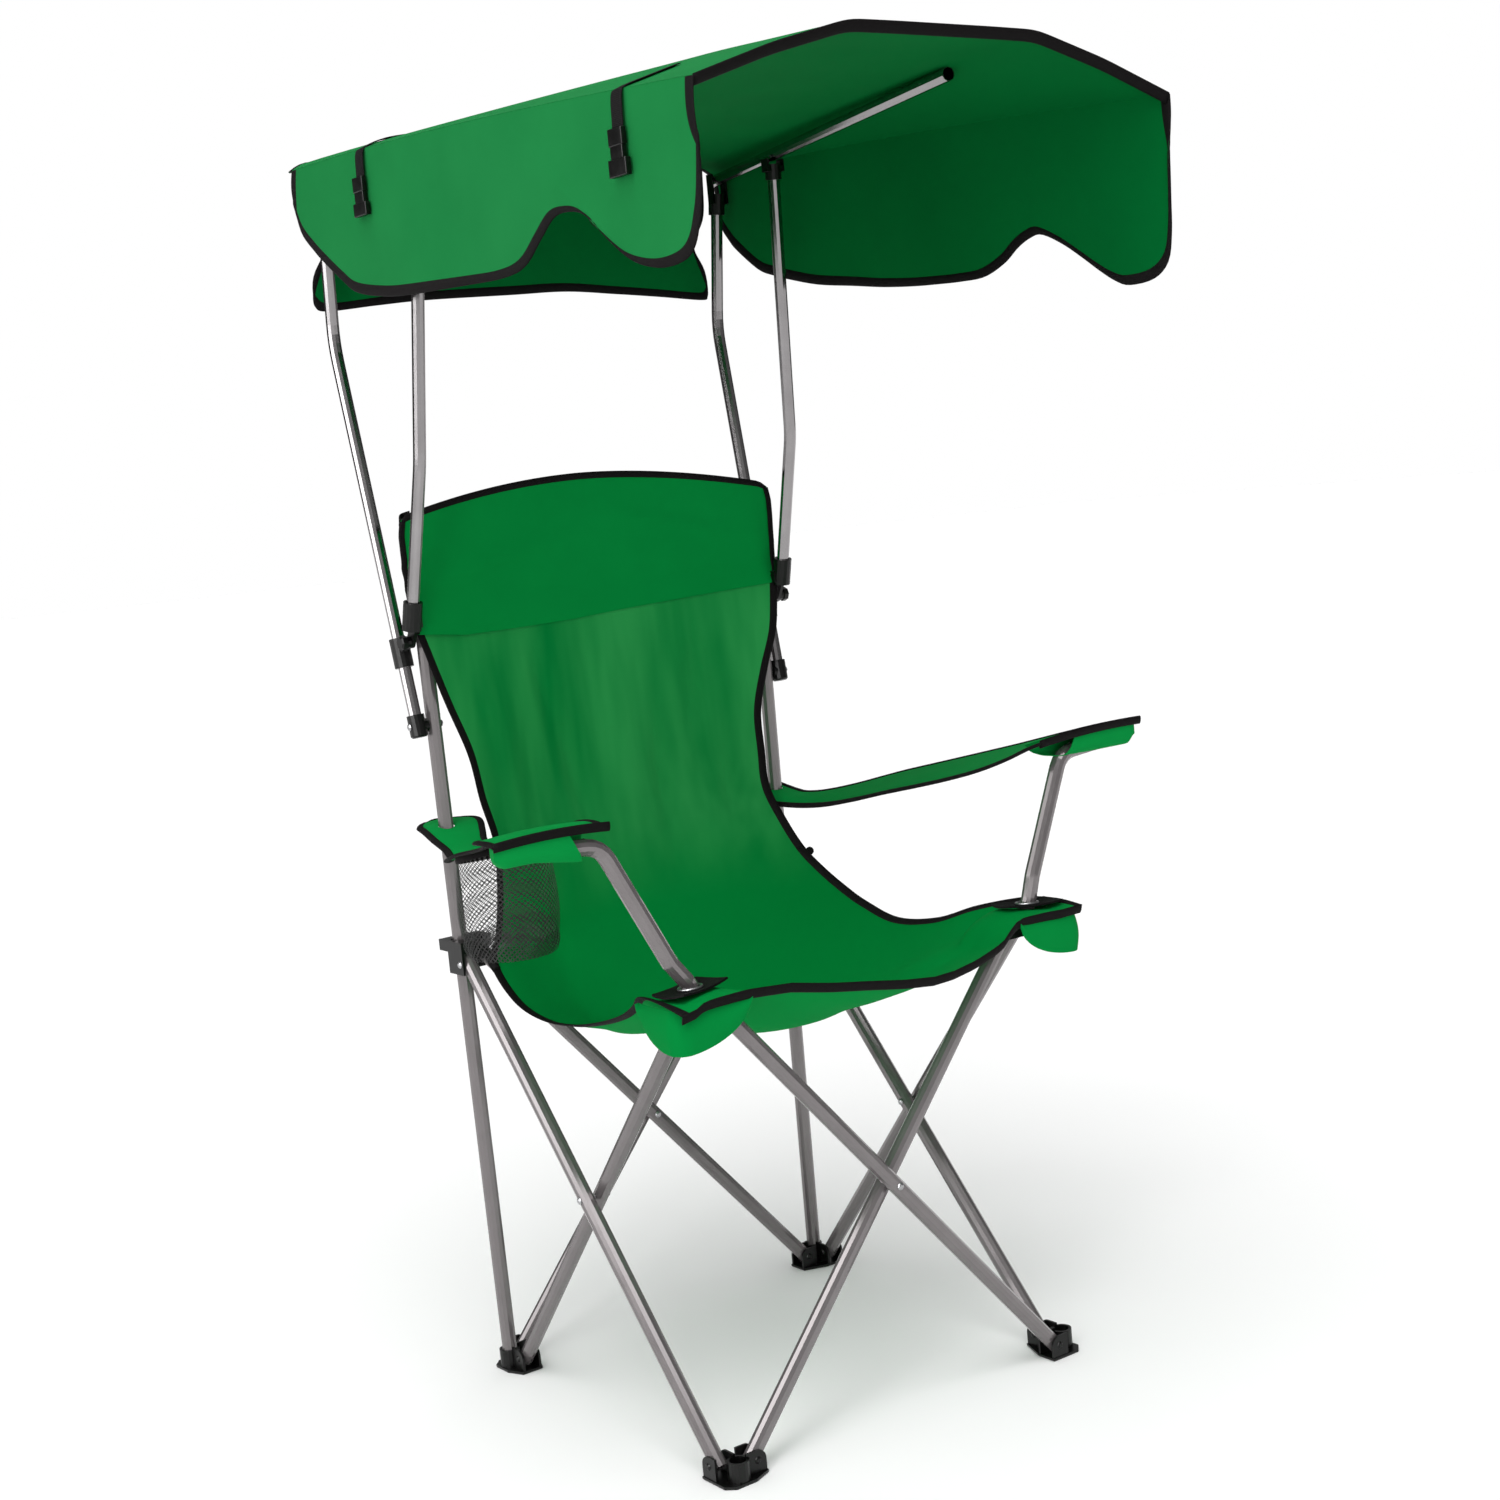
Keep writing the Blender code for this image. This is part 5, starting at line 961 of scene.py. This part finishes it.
def flapGrid(way, name, columns, rows):
    low = smoothCurve(np.array(flapEdges[name]), columns)
    yTop = np.linspace(0.338 if way < 0 else 0.345, roofValues["front"], columns)
    top = foldHeight(yTop) + 0.0002
    v = np.linspace(0, 1, rows)[:, None]
    y = yTop + (low[:, 0] - yTop) * v
    z = top + (low[:, 1] - top) * v
    # The flap hangs in shallow waves that grow towards its hem
    wave = 0.0045 * v * np.sin(low[:, 0] * 19 + 0.6) + 0.0025 * np.sin(math.pi * v)
    x = way * (roofValues["half"] + wave)
    grid = np.stack([x, y + feetShift, z], axis=2)
    return grid if way > 0 else grid[:, ::-1]


frontHang = np.tile([0.0, 0.45, -0.89], (roofPoints.shape[1], 1))
frontFace = np.tile([0.0, -0.89, -0.45], (roofPoints.shape[1], 1))
canopyBinding = [makeBinding("roofBindingFront", roofPoints[-1], frontHang, frontFace, blackTape,
                             width=0.013, thick=0.004),
                 bindEdge("roofBindingRear", roofPoints, "first row", blackTape, width=0.01)]
flapSheets = []
for way, name in bothSides:
    grid = flapGrid(way, name, 110, 34)
    made = makeSheet("sideFlapCloth" + name, grid, roofCloth, inner=shadedRoofInside)
    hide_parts("side_flap_" + name.lower())
    trim = [bindEdge("flapBindingLow" + name, grid, "last row", blackTape, width=0.0135, thick=0.0036)]
    trim += bindSides("flapBinding", ("A" + name, "B" + name), grid, width=0.0145)
    flapSheets.append((made, grid, trim))

rearValues = {"half": 0.302, "top": 1.5255, "waist": 0.02,
              "low": [(-0.3035, 1.37), (-0.302, 1.356), (-0.2866, 1.3495), (-0.22, 1.3545), (-0.149, 1.3592),
                      (-0.0216, 1.3634), (0.0635, 1.3657), (0.1407, 1.3598), (0.21, 1.354), (0.28, 1.3483),
                      (0.292, 1.353), (0.2935, 1.366)]}


def rearGrid(columns, rows):
    low = smoothCurve(np.array(rearValues["low"]), columns)
    v = np.linspace(0, 1, rows)[:, None]
    start = np.linspace(-rearValues["half"], rearValues["half"], columns)
    z = rearValues["top"] + (low[:, 1] - rearValues["top"]) * v
    # The side edges draw in to a waist above the flared lower corners
    waist = rearValues["waist"] * np.exp(-((v - 0.66) / 0.17) ** 2) * np.abs(start / rearValues["half"]) ** 5
    x = start + (low[:, 0] - start) * v - np.sign(start) * waist
    y = 0.3465 + 0.004 * v * np.sin(low[:, 0] * 17 + 1.2) - 0.001
    return np.stack([x, y + feetShift, z], axis=2)


rearPoints = rearGrid(90, 26)
rearCloth = makeSheet("rearFlapCloth", rearPoints, roofCloth, inner=shadedRoofInside)
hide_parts("rear_flap")
rearTrim = [bindEdge("rearBindingLow", rearPoints, "last row", blackTape, width=0.0125)]
rearTrim += bindSides("rearBinding", "AB", rearPoints, width=0.011)


def rideCanopy(piece):
    gather(piece, "roof_bar_left")


for piece in [roofCanopy, rearCloth] + [item[0] for item in flapSheets]:
    rideCanopy(piece)
for piece in canopyBinding + rearTrim + [part for item in flapSheets for part in item[2]]:
    rideCanopy(piece)


# A stitched seam along each fold line, between the roof and the side flap
def foldSeam(way, name):
    y = np.linspace(0.335, -0.49, 80)
    x = np.full(80, way * (roofValues["half"] + 0.0006))
    path = np.stack([x, y + feetShift, foldHeight(y) - 0.0015], axis=1)
    made = tubeAlong("foldSeam" + name, path, 0.0008, shadedRoofInside, sides=8)
    rideCanopy(made)
    return made


seams = [foldSeam(way, name) for way, name in bothSides]
print("canopy made")

# Roll-up straps: webbing from the roof over the fold line to a buckle on the flap
strapValues = {"width": 0.02, "thick": 0.0016, "reach": 0.07, "rise": 0.0018, "buckleOut": 0.0075}
buckleParts = [(0.0032, 0.0118, 0.014, 0.003), (0.0028, 0.0104, 0.03, -0.012), (0.0034, 0.015, None, -0.026)]


def strap(way, name, y, buckleTop, tail):
    values = strapValues
    fold = foldHeight(y)
    out = roofValues["half"]
    knots = [(x, y, roofHeight(x, y) + values["rise"]) for x in (out - values["reach"], out - 0.03)]
    knots += [(out - 0.004, y, fold + 0.003), (out + 0.0035, y, fold - 0.004), (out + 0.0052, y, fold - 0.03),
              (out + 0.006, y, buckleTop)]
    path = smoothCurve(np.array([(way * x, a, z) for x, a, z in knots]), 30)
    path[:, 1] += feetShift
    inward = np.tile([0.0, 1.0, 0.0], (len(path), 1))
    tangent = np.gradient(path, axis=0)
    middle = path - inward * (values["width"] / 2 - tapeValues["setOut"])
    band = makeBinding("rollStrap" + name, middle, inward, np.cross(tangent, inward), blackWeb,
                       width=values["width"], thick=values["thick"], sides=8)
    x = way * (out + values["buckleOut"])
    a = y + feetShift
    corners = [((x - deep, a - half, buckleTop - (low or tail)), (x + deep, a + half, buckleTop + high))
               for deep, half, low, high in buckleParts]
    buckle = boxPieces("rollBuckle" + name, corners, blackNylon)
    rideCanopy(band)
    rideCanopy(buckle)
    return [band, buckle]


# The roof's height at a point, for the straps
def roofHeight(x, y):
    ridge, top, fold = roofSection(y)
    half = roofValues["half"]
    levels = [top, top, fold + (top - fold) * 0.56, fold]
    return float(np.interp(abs(x), [0, ridge, (ridge + half) / 2, half], levels)) + roofValues["lift"]


straps = []
for way, side in bothSides:
    straps += strap(way, "Front" + side, -0.38, 1.434, 0.043)
    straps += strap(way, "Rear" + side, 0.155, 1.476, 0.041)
print("straps made")

# Floor, light and white background
stageValues = {"floor": "fdfdfd", "floorReach": 40, "sky": 0.68, "sun": 1.3, "sunAngle": 38,
               "sunAim": (0.28, 0.3, -1), "key": 22.0, "keySize": (0.5, 2.6), "keyPlace": (-2.6, -1.6, 1.9),
               "keyAim": (0, 0, 0.8), "stripes": 7.0,
               "stripeRamp": [(0.0, 0.045), (0.03, 0.05), (0.045, 1.0), (0.1, 1.0), (0.115, 0.06), (0.2, 0.06),
                              (0.3, 0.045), (0.4, 0.012), (0.58, 0.01), (0.649, 0.06), (0.72, 0.01),
                              (0.9, 0.012), (1.0, 0.045)]}


def hangLamp(name, data, spot, aim):
    lamp = linkPiece(name, data)
    lamp.location = spot
    lamp.rotation_euler = (Vector(aim) - Vector(spot)).to_track_quat("-Z", "Y").to_euler()


def makeStage(values):
    mesh = bpy.data.meshes.new("floor")
    reach = values["floorReach"]
    corners = [(-reach, -reach, 0), (reach, -reach, 0), (reach, reach, 0), (-reach, reach, 0)]
    mesh.from_pydata(corners, [], [(0, 1, 2, 3)])
    paint, shader = newMaterial("paleFloor", 0.9)
    shader.inputs["Base Color"].default_value = linear(values["floor"])
    shader.inputs["Specular IOR Level"].default_value = 0.0
    mesh.materials.append(paint)
    floor = linkPiece("floor", mesh)
    sun = bpy.data.lights.new("overhead", "SUN")
    sun.energy = values["sun"]
    sun.angle = math.radians(values["sunAngle"])
    hangLamp("overhead", sun, (0, 0, 0), values["sunAim"])
    key = bpy.data.lights.new("key", "AREA")
    key.shape = "RECTANGLE"
    key.size, key.size_y = values["keySize"]
    key.energy = values["key"]
    hangLamp("key", key, values["keyPlace"], values["keyAim"])
    makeWorld(values)


# The camera sees white, cloth is lit by an even sky, and metal mirrors upright strips between dark walls
def makeWorld(values):
    world = bpy.data.worlds.new("studio")
    bpy.context.scene.world = world
    world.use_nodes = True
    world.node_tree.nodes.clear()
    rays = addNode(world, "LightPath").outputs
    spots = addNode(world, "TexCoord").outputs["Generated"]
    around = addNode(world, "TexGradient", {0: spots}, gradient_type="RADIAL").outputs["Fac"]
    ramp = addNode(world, "ValToRGB", {0: around})
    marks = ramp.color_ramp.elements
    for turn, level in values["stripeRamp"]:
        marks.new(turn).color = (level, level, level, 1)
    marks.remove(marks[0])
    marks.remove(marks[-1])
    white = linear("ffffff")
    soft = addNode(world, "Background", {"Color": white, "Strength": values["sky"]}).outputs[0]
    seen = addNode(world, "Background", {"Color": white, "Strength": 1.0}).outputs[0]
    bands = {"Color": ramp.outputs["Color"], "Strength": values["stripes"]}
    strips = addNode(world, "Background", bands).outputs[0]
    mirrored = addNode(world, "MixShader", {0: rays["Is Glossy Ray"], 1: soft, 2: strips}).outputs[0]
    mix = addNode(world, "MixShader", {0: rays["Is Camera Ray"], 1: mirrored, 2: seen}).outputs[0]
    addNode(world, "OutputWorld", {0: mix})


makeStage(stageValues)
print("stage made")
